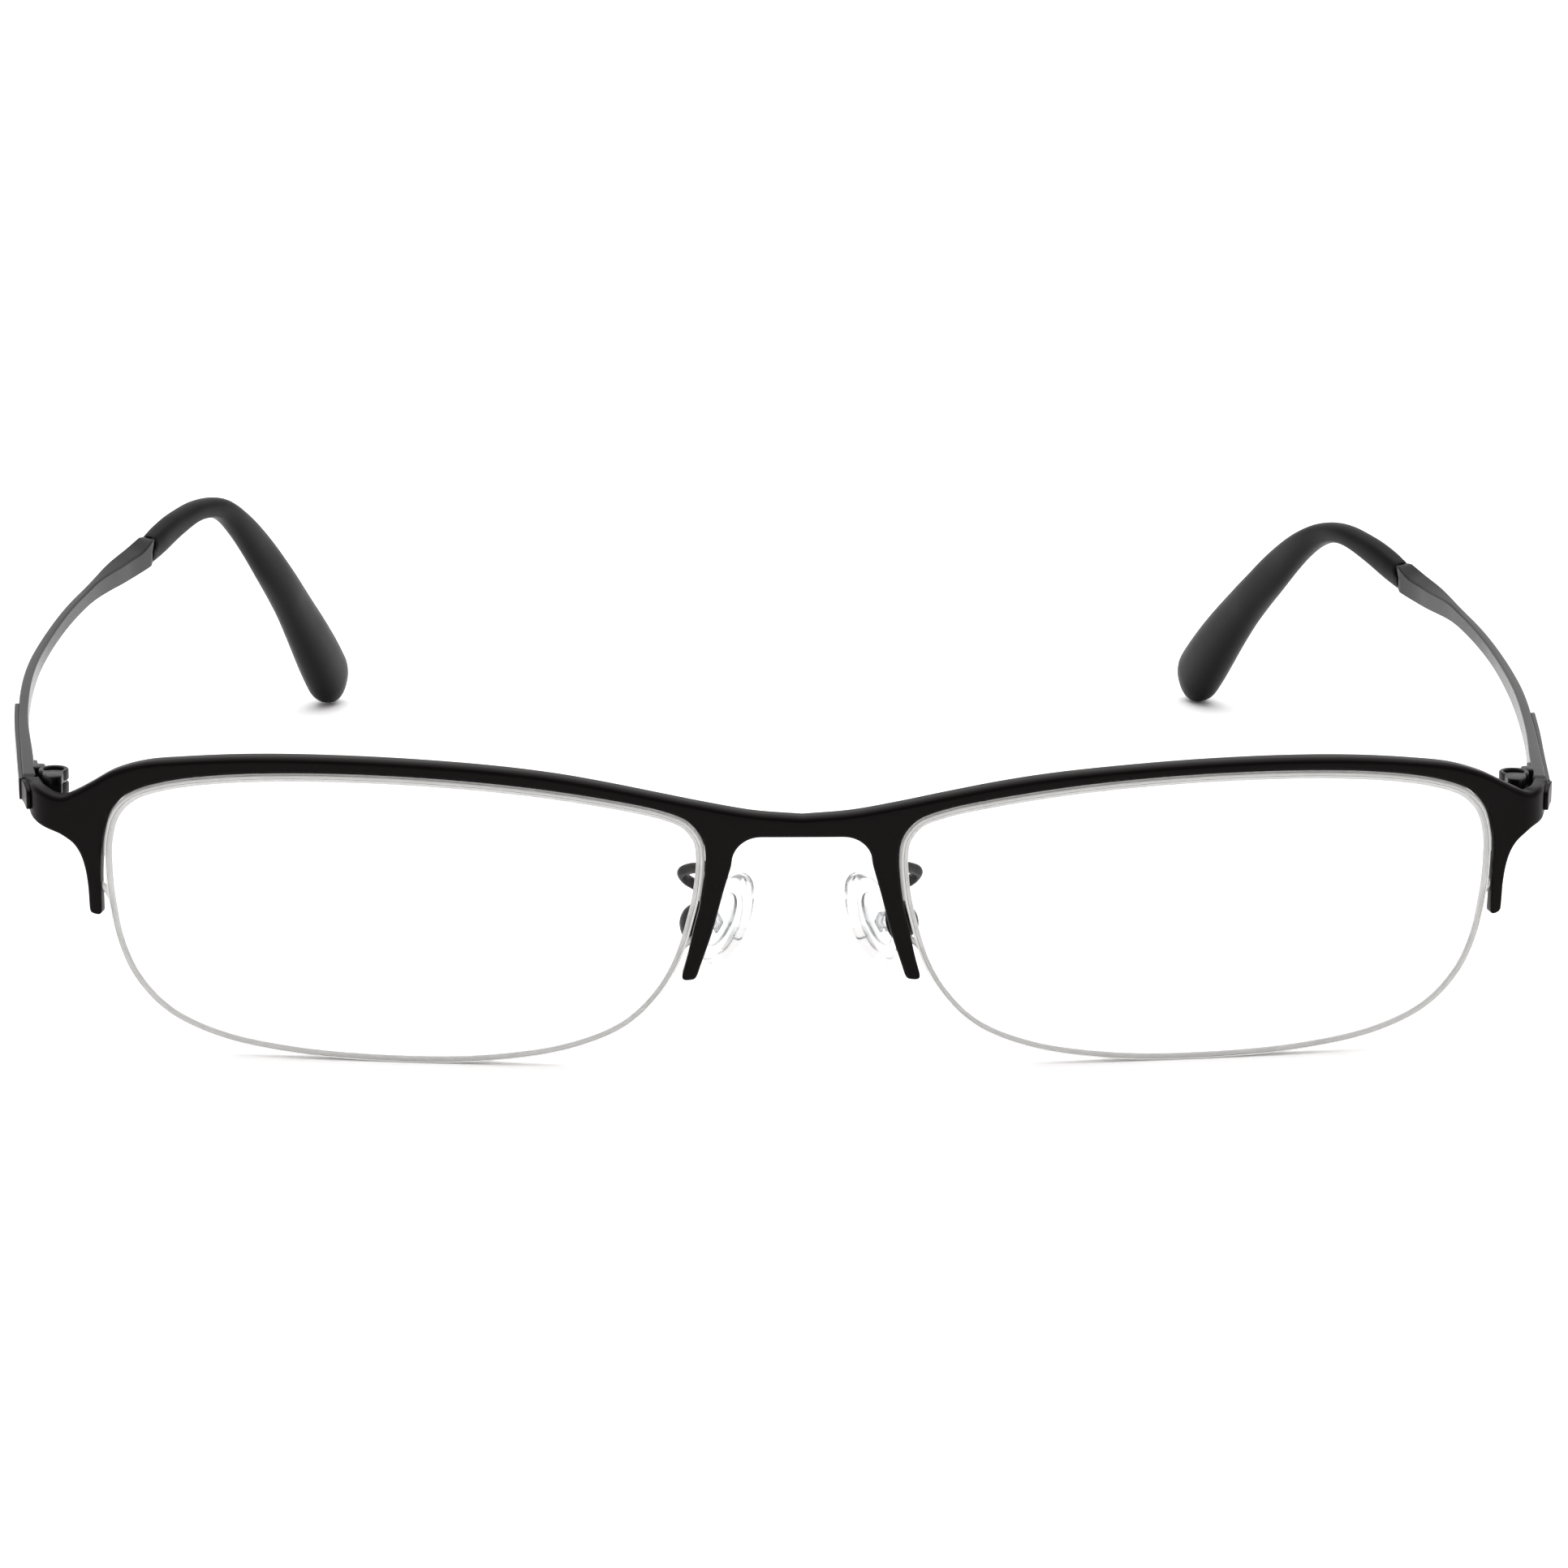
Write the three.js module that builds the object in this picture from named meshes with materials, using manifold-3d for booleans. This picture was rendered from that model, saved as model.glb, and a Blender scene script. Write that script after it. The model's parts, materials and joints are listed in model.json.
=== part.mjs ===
// Half rim eyeglasses, open, standing on a table.
//
// Millimetres, +Z up. The glasses look along -Y and the temples run back along +Y. Left and right
// are the wearer's: the wearer's left is +X. While it is being drawn, the model has its zero at the
// middle of the bridge, with the table at Z = 0. The last lines move the origin to the middle of
// the underside of the whole object.
//
// The front is drawn flat, in u (across), v (up) and w (depth, 0 on the front face), and
// bendFront() then wraps it round the face. The temples are swept along one curve each.

import * as THREE from 'three';
import { mergeVertices } from 'three/addons/utils/BufferGeometryUtils.js';
import { TessellateModifier } from 'three/addons/modifiers/TessellateModifier.js';
import Module from 'manifold-3d';

// ---------------------------------------------------------------- driving dimensions

const FACE_RADIUS = 300;              // plan radius of the front, round the face
const TILT = THREE.MathUtils.degToRad(7); // the top of the front leans forward
const TILT_HEIGHT = 28;               // height at which the tilted front meets Y = 0
const FRONT_MIDDLE = 14;              // middle height of the lenses
const BAR_DEPTH = 1.8;
const BAR_BEVEL = 0.25;

const BEND_RADIUS = 3.2;              // of the corner where each endpiece turns back
const BEND_HEADING = THREE.MathUtils.degToRad(74); // direction of the endpiece after the bend
const ENDPIECE_DEPTH = 1.3;
const ENDPIECE_START = 65.0;
const ENDPIECE_REACH = 6.2;           // from the start of the corner to the end, round the corner
const ENDPIECE_HEIGHT = 2.4;
const JOINT_Y = 12.5;                 // the endpieces are cut off square here

const LENS_THICKNESS = 2.2;
const RIM_GAP = 0.35;                 // between the rim outline and the lens, above RIM_OPEN_TOP
const CORD_GAP = 0.05;                // the same under RIM_OPEN_BOTTOM, where only the cord holds it
const RIM_OPEN_TOP = 15;
const RIM_OPEN_BOTTOM = 10;
const CORD_RADIUS = 0.28;
const CORD_INSET = 0.3;               // from the rim outline to the middle of the cord
const LINER_INSET = 0.15;
const LINER_HALF_WIDTH = 0.42;
const LINER_HALF_DEPTH = 0.3;
const GROOVE_CLEARANCE = 0.07;
const CORD_DEPTH = BAR_DEPTH / 2;     // the cord and liner lie in the middle of the bar's depth

const KNUCKLE_RADIUS = 1.2;
const KNUCKLE_HEIGHT = 1;
const KNUCKLE_GAP = 0.25;
const HINGE_MIDDLE = 24.1;            // middle height of the endpiece that the hinge is drawn for
const HINGE_BASE = 22.2;              // underside of the lowest knuckle
const HINGE_TOP = HINGE_BASE + 3 * KNUCKLE_HEIGHT + 2 * KNUCKLE_GAP;
const PIN_RADIUS = 0.55;
const PIN_HOLE_RADIUS = 0.61;
const SCREW_HEAD_RADIUS = 0.82;
const SCREW_HEAD_HEIGHT = 0.45;
const COUNTERBORE_RADIUS = 0.9;
const COUNTERBORE_DEPTH = 0.6;
const WASHER_THICKNESS = 0.13;

const SEAM_Y = 97;                    // where the metal ends and the moulded tip begins
const CORE_LENGTH = 30;               // metal core inside the tip
const CORE_THICKNESS = 0.8;
const CORE_HEIGHT = 1.4;
const SEAM_GAP = 0.1;

const PLATE_LENGTH = 22;
const PLATE_THICKNESS = 0.4;
const PLATE_HEIGHT = 2.2;
const PLATE_GAP = 0.12;

const PAD_LENGTH = 10.2;
const PAD_WIDTH = 6.8;
const PAD_RISE = 0.8;                 // the pad's middle above its cup
const PAD_BACK = 2.25;                // from the middle of the cup to the back of the pad
const CUP_CENTRE = new THREE.Vector3(9.5, 9.5, 12.4);
const PAD_NORMAL = new THREE.Vector3(-0.84, 0.49, -0.24).normalize(); // towards the nose
const PAD_UP = new THREE.Vector3(-0.42, -0.3, 0.86);
const CUP_RADIUS = 1.8;
const CUP_BORE = 1.3;
const PAD_PIN_RADIUS = 0.35;
const PAD_PIN_HOLE = 0.41;
const PAD_PIN_LENGTH = 3.3;
const PAD_PIVOT = 0.25;               // height of the pad's screw above the middle of its cup
const ARM_RADIUS = 0.5;

// The two ends are bent by hand to one head, so they differ a little. bendStart is where the
// endpiece turns back, endHeight the middle height of the endpiece, seamHeight the height of the
// temple where the moulded tip begins. metal lists (across, back) along the middle of the temple's
// metal, and tip lists (across, back, height) along the middle of the tip behind it. barLift lists
// (across, lift) of the bar's top edge above BAR_TOP, legOutside how much wider the ear leg is on
// its outer side, and legInside on its inner side.
const SIDES = [
  {
    name: 'right',
    sign: -1,
    bendStart: 67.1,
    endHeight: 24.1,
    hinge: { x: 67.6, y: 13.9 },
    seamHeight: 27,
    barLift: [[0, 0.2], [44, 0.3], [55, 0.4], [62.5, 0.95], [64.5, 0.8], [66.5, 0.3]],
    legOutside: 0.35,
    legInside: 0,
    metal: [[69.7, 12.7], [70.7, 21], [72.2, 34], [72.9, 47.5], [72.6, 58], [71, 73], [68.6, 85],
      [65.3, 97]],
    tip: [[62.7, 104, 28.3], [60.5, 109, 28.8], [58.5, 113, 28], [56.6, 117, 25.2],
      [53.2, 125, 17.5], [51, 131.5, 11.1], [47.8, 141.7, 0.65]],
  },
  {
    name: 'left',
    sign: 1,
    bendStart: 65.3,
    endHeight: 23.5,
    hinge: { x: 65.4, y: 13.7 },
    seamHeight: 23.9,
    barLift: [[0, 0.2], [15, 0.25], [26, 0], [56, 0], [61, 0.3], [63.5, 0.5], [66.5, 0.2]],
    legOutside: 0.05,
    legInside: 0.15,
    metal: [[67.65, 12.7], [68.4, 21], [69.5, 33], [70.4, 49], [70.2, 67], [68.9, 82], [66, 97]],
    tip: [[63.2, 103.5, 25.4], [60.9, 108.5, 26], [59.2, 112.5, 25.2], [57.3, 116.5, 23],
      [53.7, 125.5, 15.9], [51.2, 132, 10.1], [47.8, 141.7, 0.65]],
  },
];

// ---------------------------------------------------------------- materials

function material(color, roughness, metalness, extra = {}) {
  return new THREE.MeshStandardMaterial({ color, roughness, metalness, ...extra });
}

const blackMetal = material(0x1d1c1f, 0.45, 0.6);
const greyMetal = material(0x55565a, 0.4, 0.7);
const steel = material(0x4a4748, 0.35, 0.9);
const blackPlastic = material(0x1a1a1b, 0.6, 0);
const clearLens = material(0xf4f7f6, 0.05, 0, { transparent: true, opacity: 0.25 });
const clearNylon = material(0xe6e4dc, 0.35, 0, { transparent: true, opacity: 0.6 });
const clearSilicone = material(0xf0f2f2, 0.3, 0, { transparent: true, opacity: 0.4 });
const smokyPlastic = material(0x9a9c9e, 0.4, 0, { transparent: true, opacity: 0.7 });

// ---------------------------------------------------------------- solids

const wasm = await Module();
wasm.setup();

const MERGE_DISTANCE = 1e-4;

function weld(geometry) {
  const bare = new THREE.BufferGeometry();
  bare.setAttribute('position', geometry.getAttribute('position'));
  bare.setIndex(geometry.getIndex());
  return mergeVertices(bare, MERGE_DISTANCE);
}

function signedVolume(positions, index) {
  const corner = [0, 1, 2].map(() => new THREE.Vector3());
  let volume = 0;
  for (let i = 0; i < index.count; i += 3) {
    corner.forEach((point, k) => point.fromBufferAttribute(positions, index.getX(i + k)));
    volume += corner[0].dot(corner[1].cross(corner[2]));
  }
  return volume;
}

// A closed geometry as a manifold solid, with its faces turned outwards.
function solid(geometry) {
  const welded = weld(geometry);
  const positions = welded.getAttribute('position');
  const triangles = Uint32Array.from(welded.getIndex().array);
  if (signedVolume(positions, welded.getIndex()) < 0) {
    for (let i = 0; i < triangles.length; i += 3) {
      [triangles[i], triangles[i + 1]] = [triangles[i + 1], triangles[i]];
    }
  }
  const mesh = new wasm.Mesh({
    numProp: 3,
    vertProperties: Float32Array.from(positions.array),
    triVerts: triangles,
  });
  mesh.merge();
  return new wasm.Manifold(mesh);
}

function geometryOf(body) {
  const mesh = body.getMesh();
  const geometry = new THREE.BufferGeometry();
  geometry.setAttribute('position', new THREE.Float32BufferAttribute(mesh.vertProperties, 3));
  geometry.setIndex([...mesh.triVerts]);
  geometry.computeVertexNormals();
  return geometry;
}

// Moves every vertex through a function of its own coordinates.
function reshape(geometry, place) {
  const positions = geometry.getAttribute('position');
  for (let i = 0; i < positions.count; i += 1) {
    const to = place(positions.getX(i), positions.getY(i), positions.getZ(i));
    positions.setXYZ(i, to.x, to.y, to.z);
  }
  return geometry;
}

function extrude(shape, depth, options = {}) {
  return new THREE.ExtrudeGeometry(shape, { depth, bevelEnabled: false, ...options });
}

// A section in the unit square, drawn out in steps from 0 to 1 and placed by a function.
function sweep(section, steps, place) {
  return solid(reshape(extrude(section, 1, { steps }), place));
}

function box(sizeX, sizeY, sizeZ, x, y, z) {
  return solid(new THREE.BoxGeometry(sizeX, sizeY, sizeZ).translate(x, y, z));
}

// A turned part on the Z axis, from (radius, height) points.
function turned(profile, segments, x = 0, y = 0) {
  const points = profile.map(([radius, height]) => new THREE.Vector2(radius, height));
  const geometry = new THREE.LatheGeometry(points, segments);
  return solid(geometry.rotateX(Math.PI / 2).translate(x, y, 0));
}

function cylinder(radius, low, high, segments, x = 0, y = 0) {
  return turned([[0, low], [radius, low], [radius, high], [0, high]], segments, x, y);
}

function squareSection() {
  const half = 0.5;
  const shape = new THREE.Shape();
  shape.moveTo(-half, -half).lineTo(half, -half).lineTo(half, half).lineTo(-half, half);
  return shape;
}

// A box with softened corners: an octagon in the unit square.
function softSection(corner) {
  const half = 0.5;
  const inner = half - corner;
  return new THREE.Shape([
    [-inner, -half], [inner, -half], [half, -inner], [half, inner],
    [inner, half], [-inner, half], [-half, inner], [-half, -inner],
  ].map(([x, y]) => new THREE.Vector2(x, y)));
}

function roundSection(sides) {
  const points = [];
  for (let i = 0; i < sides; i += 1) {
    const angle = (2 * Math.PI * (i + 0.5)) / sides;
    points.push(new THREE.Vector2(0.5 * Math.cos(angle), 0.5 * Math.sin(angle)));
  }
  return new THREE.Shape(points);
}

// ---------------------------------------------------------------- the bent front

function planPoint(across, bendStart) {
  if (across <= bendStart) {
    const heading = Math.atan(across / FACE_RADIUS);
    return { x: across, y: (across * across) / (2 * FACE_RADIUS), heading };
  }
  const start = planPoint(bendStart, bendStart);
  const turn = Math.min((across - bendStart) / BEND_RADIUS, BEND_HEADING - start.heading);
  const heading = start.heading + turn;
  const straight = across - bendStart - turn * BEND_RADIUS;
  const arcX = BEND_RADIUS * (Math.sin(heading) - Math.sin(start.heading));
  const arcY = BEND_RADIUS * (Math.cos(start.heading) - Math.cos(heading));
  return {
    x: start.x + arcX + straight * Math.cos(heading),
    y: start.y + arcY + straight * Math.sin(heading),
    heading,
  };
}

function bendFront(u, v, w) {
  const { bendStart, endHeight } = SIDES[u < 0 ? 0 : 1];
  const plan = planPoint(Math.abs(u), bendStart);
  const inEndpiece = THREE.MathUtils.smoothstep(Math.abs(u), bendStart - 2, bendStart + 1);
  const height = THREE.MathUtils.lerp(v, endHeight, inEndpiece);
  const lean = (TILT_HEIGHT - height) * Math.tan(TILT);
  const bulge = (height - FRONT_MIDDLE) ** 2 / (2 * FACE_RADIUS);
  const x = plan.x - w * Math.sin(plan.heading);
  const y = plan.y + w * Math.cos(plan.heading) + lean + bulge;
  return new THREE.Vector3(u < 0 ? -x : x, y, v);
}

function curve2(points) {
  const spatial = points.map(([u, v]) => new THREE.Vector3(u, v, 0));
  return new THREE.CatmullRomCurve3(spatial, false, 'centripetal');
}

function sample(curve, count) {
  return curve.getSpacedPoints(count).map((point) => new THREE.Vector2(point.x, point.y));
}

// The rim outline of one lens: the line that the outside of the cord follows. It starts on the
// nose side, runs up and over the top, and comes back round the bottom.
const RIM_TOP = [
  [8.75, 18.5], [8.65, 20.5], [8.95, 22.3], [10.2, 23.95], [12.4, 24.9], [17.3, 25.95],
  [25.7, 27.1], [35.8, 27.75], [45.5, 27.75], [52.5, 27.25], [57.5, 26.35], [60.4, 25.2],
  [62.1, 23.4], [62.85, 21.0], [63.0, 18.5],
];
const RIM_BOTTOM = [
  [63.0, 18.5], [62.8, 15.0], [62.05, 11.3], [60.5, 7.4], [57.6, 4.1], [53.0, 1.85],
  [46.0, 0.5], [36.0, 0.0], [28.0, 0.35], [20.6, 1.75], [15.6, 4.1], [12.3, 7.7],
  [10.3, 11.9], [9.15, 15.8], [8.75, 18.5],
];
const rimLoop = new THREE.CatmullRomCurve3(
  [...RIM_TOP, ...RIM_BOTTOM.slice(1, -1)].map(([u, v]) => new THREE.Vector3(u, v, 0)),
  true,
  'centripetal',
);

// A point and the inward direction of the closed rim, at a fraction of its length.
function rimFrame(fraction) {
  const at = rimLoop.getPointAt(((fraction % 1) + 1) % 1);
  const along = rimLoop.getTangentAt(((fraction % 1) + 1) % 1);
  return { at, inward: new THREE.Vector2(along.y, -along.x) };
}

// How far inside the rim outline the edge of the lens lies.
function lensInset(fraction) {
  const open = THREE.MathUtils.smoothstep(rimFrame(fraction).at.y, RIM_OPEN_BOTTOM, RIM_OPEN_TOP);
  return THREE.MathUtils.lerp(CORD_GAP, RIM_GAP, open);
}

function rimInset(fraction, inset) {
  const { at, inward } = rimFrame(fraction);
  return new THREE.Vector2(at.x + inward.x * inset, at.y + inward.y * inset);
}

// The fraction of the rim's length nearest to a height, on the nose side or the ear side.
function rimFraction(height, onNoseSide) {
  const middle = (RIM_TOP[0][0] + RIM_TOP.at(-1)[0]) / 2;
  let best = 0;
  let least = Infinity;
  for (let i = 0; i < 1000; i += 1) {
    const at = rimLoop.getPointAt(i / 1000);
    const miss = Math.abs(at.y - height);
    if (at.x < middle === onNoseSide && miss < least) {
      least = miss;
      best = i / 1000;
    }
  }
  return best;
}

// ---------------------------------------------------------------- front frame

const BAR_TOP = [
  [0, 24.2], [4.4, 24.55], [8.7, 25.3], [12.7, 26.1], [17.5, 27.05], [22, 27.8], [27.5, 28.4],
  [35.5, 28.85], [43.5, 28.95], [50, 28.7], [55.5, 28.15], [59, 27.4], [61.8, 26.25],
  [63.9, 25.05], [65.3, 24.5], [66.5, 24.3],
];
const ENDPIECE_UNDERSIDE = [
  [66.7, 21.2], [66.0, 20.7], [65.3, 19.95], [64.7, 19.0], [64.25, 17.7], [63.9, 14.2],
];
const EAR_LEG_FOOT = [[63.8, 13.4], [63.5, 13.05]];
const EAR_LEG_INSIDE = [[63.15, 13], [63.15, 15.5], [63.15, 17.5]];
const NOSE_LEG_LENS_SIDE = [[9.15, 15.9], [9.6, 14.0], [10.25, 11.0]];
const NOSE_LEG_FOOT = [[10.75, 8.75], [9.7, 8.75], [9.25, 9.2]];
const NOSE_LEG_INSIDE = [[9.25, 9.2], [8.0, 13.45], [7.1, 17.0], [6.35, 19.7]];
const BRIDGE_CORNER = { u: 3.7, v: 20.0, radiusU: 2.6, radiusV: 2.5 };

// One half of the front's outline, from the top of the bridge round the end to the nose.
function halfOutline({ barLift, legOutside, legInside }) {
  const corner = new THREE.EllipseCurve(
    BRIDGE_CORNER.u, BRIDGE_CORNER.v, BRIDGE_CORNER.radiusU, BRIDGE_CORNER.radiusV,
    0, Math.PI / 2,
  );
  const rimTopBackwards = RIM_TOP.slice(1, -1).reverse();
  const top = BAR_TOP.map(([u, v]) => [u, v + profile(barLift, u)]);
  const outside = ENDPIECE_UNDERSIDE.map(([u, v]) => [u + legOutside, v]);
  const inside = EAR_LEG_INSIDE.map(([u, v]) => [u - legInside, v]);
  return [
    ...sample(curve2(top), 24),
    ...sample(curve2(outside), 8),
    ...EAR_LEG_FOOT.map(([u, v], i) => new THREE.Vector2(u + (i ? -legInside : legOutside), v)),
    ...sample(curve2([...inside, ...rimTopBackwards, ...NOSE_LEG_LENS_SIDE]), 36),
    ...NOSE_LEG_FOOT.slice(0, -1).map(([u, v]) => new THREE.Vector2(u, v)),
    ...sample(curve2(NOSE_LEG_INSIDE), 5).slice(0, -1),
    ...corner.getPoints(6),
  ];
}

function frontOutline() {
  const [right, left] = SIDES.map(halfOutline);
  const flipped = right.slice(1).reverse().map((point) => new THREE.Vector2(-point.x, point.y));
  return new THREE.Shape([...left, ...flipped]);
}

function frontPlate() {
  const geometry = extrude(frontOutline(), BAR_DEPTH - 2 * BAR_BEVEL, {
    bevelEnabled: true,
    bevelThickness: BAR_BEVEL,
    bevelSize: BAR_BEVEL,
    bevelOffset: -BAR_BEVEL,
    bevelSegments: 1,
  });
  return solid(reshape(geometry, (u, v, w) => bendFront(u, v, w + BAR_BEVEL)));
}

// The endpiece: a strip that leaves the bar's end, turns the corner and stops at the temple.
function endpiece({ sign, bendStart, endHeight }) {
  const { lerp, smoothstep } = THREE.MathUtils;
  const strip = sweep(softSection(0.12), 14, (x, y, along) => {
    const across = lerp(ENDPIECE_START, bendStart + ENDPIECE_REACH, along);
    const turned = smoothstep(along, 0.1, 0.8);
    const top = lerp(24.35, endHeight + ENDPIECE_HEIGHT / 2, turned);
    const bottom = lerp(20.9, endHeight - ENDPIECE_HEIGHT / 2, turned);
    const depth = lerp(BAR_DEPTH, ENDPIECE_DEPTH, turned);
    return bendFront(sign * across, lerp(bottom, top, y + 0.5), (x + 0.5) * depth);
  });
  const behindJoint = 4;
  const cutter = box(12, behindJoint, 12, sign * bendStart, JOINT_Y + behindJoint / 2, endHeight);
  return strip.subtract(cutter);
}

function frontFrame() {
  let body = frontPlate();
  for (const side of SIDES) {
    const { sign } = side;
    body = body.add(endpiece(side));
    body = body.subtract(rimLiner(sign, GROOVE_CLEARANCE));
    body = body.subtract(nylonCord(sign, GROOVE_CLEARANCE));
  }
  return body;
}

// ---------------------------------------------------------------- lenses, liners and cords

const LINER_START = rimFraction(16.3, true);
const LINER_END = rimFraction(19, false);
const CORD_START = rimFraction(14.8, false);
const CORD_END = rimFraction(11.6, true);
const CORD_HOLE_EAR = [[63.6, 16.4], [63.25, 16.2]];
const CORD_HOLE_NOSE = [[9.75, 12.6], [9.3, 12.9]];

// The liner runs over the top of the lens, half in the bar's channel and half in the lens.
function rimLiner(sign, clearance = 0) {
  const start = LINER_START - Math.round(LINER_START);
  return sweep(roundSection(6), 32, (x, y, along) => {
    const fraction = THREE.MathUtils.lerp(start, LINER_END, along);
    const inset = LINER_INSET + x * 2 * (LINER_HALF_WIDTH + clearance);
    const point = rimInset(fraction, inset);
    return bendFront(sign * point.x, point.y, CORD_DEPTH + y * 2 * (LINER_HALF_DEPTH + clearance));
  });
}

// The cord leaves a hole in the ear-side leg, lies in the groove under the lens and ends in a
// hole in the nose-side leg.
const CORD_STATIONS = 18;
const cordPath = curve2([
  ...CORD_HOLE_EAR,
  ...Array.from({ length: CORD_STATIONS + 1 }, (_, i) => {
    const end = CORD_END < CORD_START ? CORD_END + 1 : CORD_END;
    const fraction = THREE.MathUtils.lerp(CORD_START, end, i / CORD_STATIONS);
    return rimInset(fraction, CORD_INSET).toArray();
  }),
  ...CORD_HOLE_NOSE,
]);

function nylonCord(sign, clearance = 0) {
  const diameter = 2 * (CORD_RADIUS + clearance);
  return sweep(roundSection(6), 38, (x, y, along) => {
    const at = cordPath.getPointAt(along);
    const tangent = cordPath.getTangentAt(along);
    const u = at.x + tangent.y * x * diameter;
    const v = at.y - tangent.x * x * diameter;
    return bendFront(sign * u, v, CORD_DEPTH + y * diameter);
  });
}

// A groove round the edge of the lens, cut in two overlapping halves.
function lensGroove(sign, from, to) {
  return sweep(squareSection(), 22, (x, y, along) => {
    const point = rimInset(THREE.MathUtils.lerp(from, to, along), CORD_INSET + x * 0.75);
    return bendFront(sign * point.x, point.y, CORD_DEPTH + y * 0.8);
  });
}

function lens(sign) {
  const stations = 46;
  const outline = Array.from({ length: stations }, (_, i) => {
    const fraction = i / stations;
    return rimInset(fraction, lensInset(fraction));
  });
  const flat = extrude(new THREE.Shape(outline), LENS_THICKNESS);
  const fine = new TessellateModifier(12, 6).modify(flat);
  const front = CORD_DEPTH - LENS_THICKNESS / 2;
  const body = solid(reshape(fine, (u, v, w) => bendFront(sign * u, v, w + front)));
  return body.subtract(lensGroove(sign, -0.02, 0.5)).subtract(lensGroove(sign, 0.48, 1));
}

// ---------------------------------------------------------------- hinges

function planSolid(points, low, high) {
  const shape = new THREE.Shape(points.map(([x, y]) => new THREE.Vector2(x, y)));
  return solid(extrude(shape, high - low).translate(0, 0, low));
}

function mirrored(body, sign) {
  return sign < 0 ? solid(reshape(geometryOf(body), (x, y, z) => new THREE.Vector3(-x, y, z))) : body;
}

const LOWER_GAP_BASE = HINGE_BASE + KNUCKLE_HEIGHT;
const MIDDLE_KNUCKLE_BASE = LOWER_GAP_BASE + KNUCKLE_GAP;
const UPPER_GAP_BASE = MIDDLE_KNUCKLE_BASE + KNUCKLE_HEIGHT;

const KNUCKLE_SIDES = 16;

// Hinge pieces are drawn round their own axis for the wearer's left and placed at either side.
function placeHinge(body, { sign, hinge, endHeight }) {
  const rise = endHeight - HINGE_MIDDLE;
  return solid(reshape(geometryOf(body), (x, y, z) => (
    new THREE.Vector3(sign * (x + hinge.x), y + hinge.y, z + rise)
  )));
}

function pinHole() {
  const beyond = 1;
  return cylinder(PIN_HOLE_RADIUS, HINGE_BASE - beyond, HINGE_TOP + beyond, KNUCKLE_SIDES);
}

function hingeFrontLeaf(side) {
  const barrel = cylinder(KNUCKLE_RADIUS, HINGE_BASE, HINGE_TOP, KNUCKLE_SIDES);
  const arm = planSolid([[-0.95, -2.8], [0.25, -3.1], [0.9, -1.9], [1, -0.2], [-1.1, -0.2]],
    HINGE_BASE, HINGE_TOP);
  const slotHeight = KNUCKLE_HEIGHT + 2 * KNUCKLE_GAP;
  const slotMiddle = (HINGE_BASE + HINGE_TOP) / 2;
  const slot = cylinder(KNUCKLE_RADIUS + 0.15, slotMiddle - slotHeight / 2,
    slotMiddle + slotHeight / 2, KNUCKLE_SIDES);
  const counterbore = cylinder(COUNTERBORE_RADIUS, HINGE_TOP - COUNTERBORE_DEPTH, HINGE_TOP + 1,
    KNUCKLE_SIDES);
  const leaf = barrel.add(arm).subtract(slot).subtract(pinHole()).subtract(counterbore);
  return placeHinge(leaf, side);
}

function hingeTempleLeaf(side) {
  const top = MIDDLE_KNUCKLE_BASE + KNUCKLE_HEIGHT;
  const barrel = cylinder(KNUCKLE_RADIUS, MIDDLE_KNUCKLE_BASE, top, KNUCKLE_SIDES);
  const arm = planSolid([[0.1, 0.2], [1.15, 0], [1.8, 2.2], [1.2, 2.6]], MIDDLE_KNUCKLE_BASE, top);
  const plate = planSolid([[1.15, 1.7], [1.77, 1.7], [2.1, 5.7], [1.6, 5.7]],
    HINGE_MIDDLE - 1.05, HINGE_MIDDLE + 1.05);
  return placeHinge(barrel.add(arm).add(plate).subtract(pinHole()), side);
}

function hingeScrew(side) {
  const low = HINGE_BASE + 0.1;
  const seat = HINGE_TOP - COUNTERBORE_DEPTH + 0.05;
  const top = seat + SCREW_HEAD_HEIGHT;
  const blank = turned([[0, low], [PIN_RADIUS, low], [PIN_RADIUS, seat], [SCREW_HEAD_RADIUS, seat],
    [SCREW_HEAD_RADIUS, top], [0, top]], KNUCKLE_SIDES);
  const slot = box(2 * SCREW_HEAD_RADIUS + 1, 0.28, 0.44, 0, 0, top);
  return placeHinge(blank.subtract(slot), side);
}

function hingeWasher(side, gapBase) {
  const low = gapBase + (KNUCKLE_GAP - WASHER_THICKNESS) / 2;
  const high = low + WASHER_THICKNESS;
  const outer = KNUCKLE_RADIUS - 0.05;
  const ring = turned([[PIN_HOLE_RADIUS, low], [outer, low], [outer, high], [PIN_HOLE_RADIUS, high],
    [PIN_HOLE_RADIUS, low]], KNUCKLE_SIDES);
  return placeHinge(ring, side);
}

// ---------------------------------------------------------------- temples and tips

// The middle line of a temple, from its front end to the end of its tip.
function templeCurve({ sign, endHeight, seamHeight, metal, tip }) {
  const front = metal[0][1];
  const strip = metal.map(([x, y]) => (
    [x, y, THREE.MathUtils.lerp(endHeight, seamHeight, (y - front) / (SEAM_Y - front))]
  ));
  const points = [...strip, ...tip].map(([x, y, z]) => new THREE.Vector3(sign * x, y, z));
  return new THREE.CatmullRomCurve3(points, false, 'centripetal');
}

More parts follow.
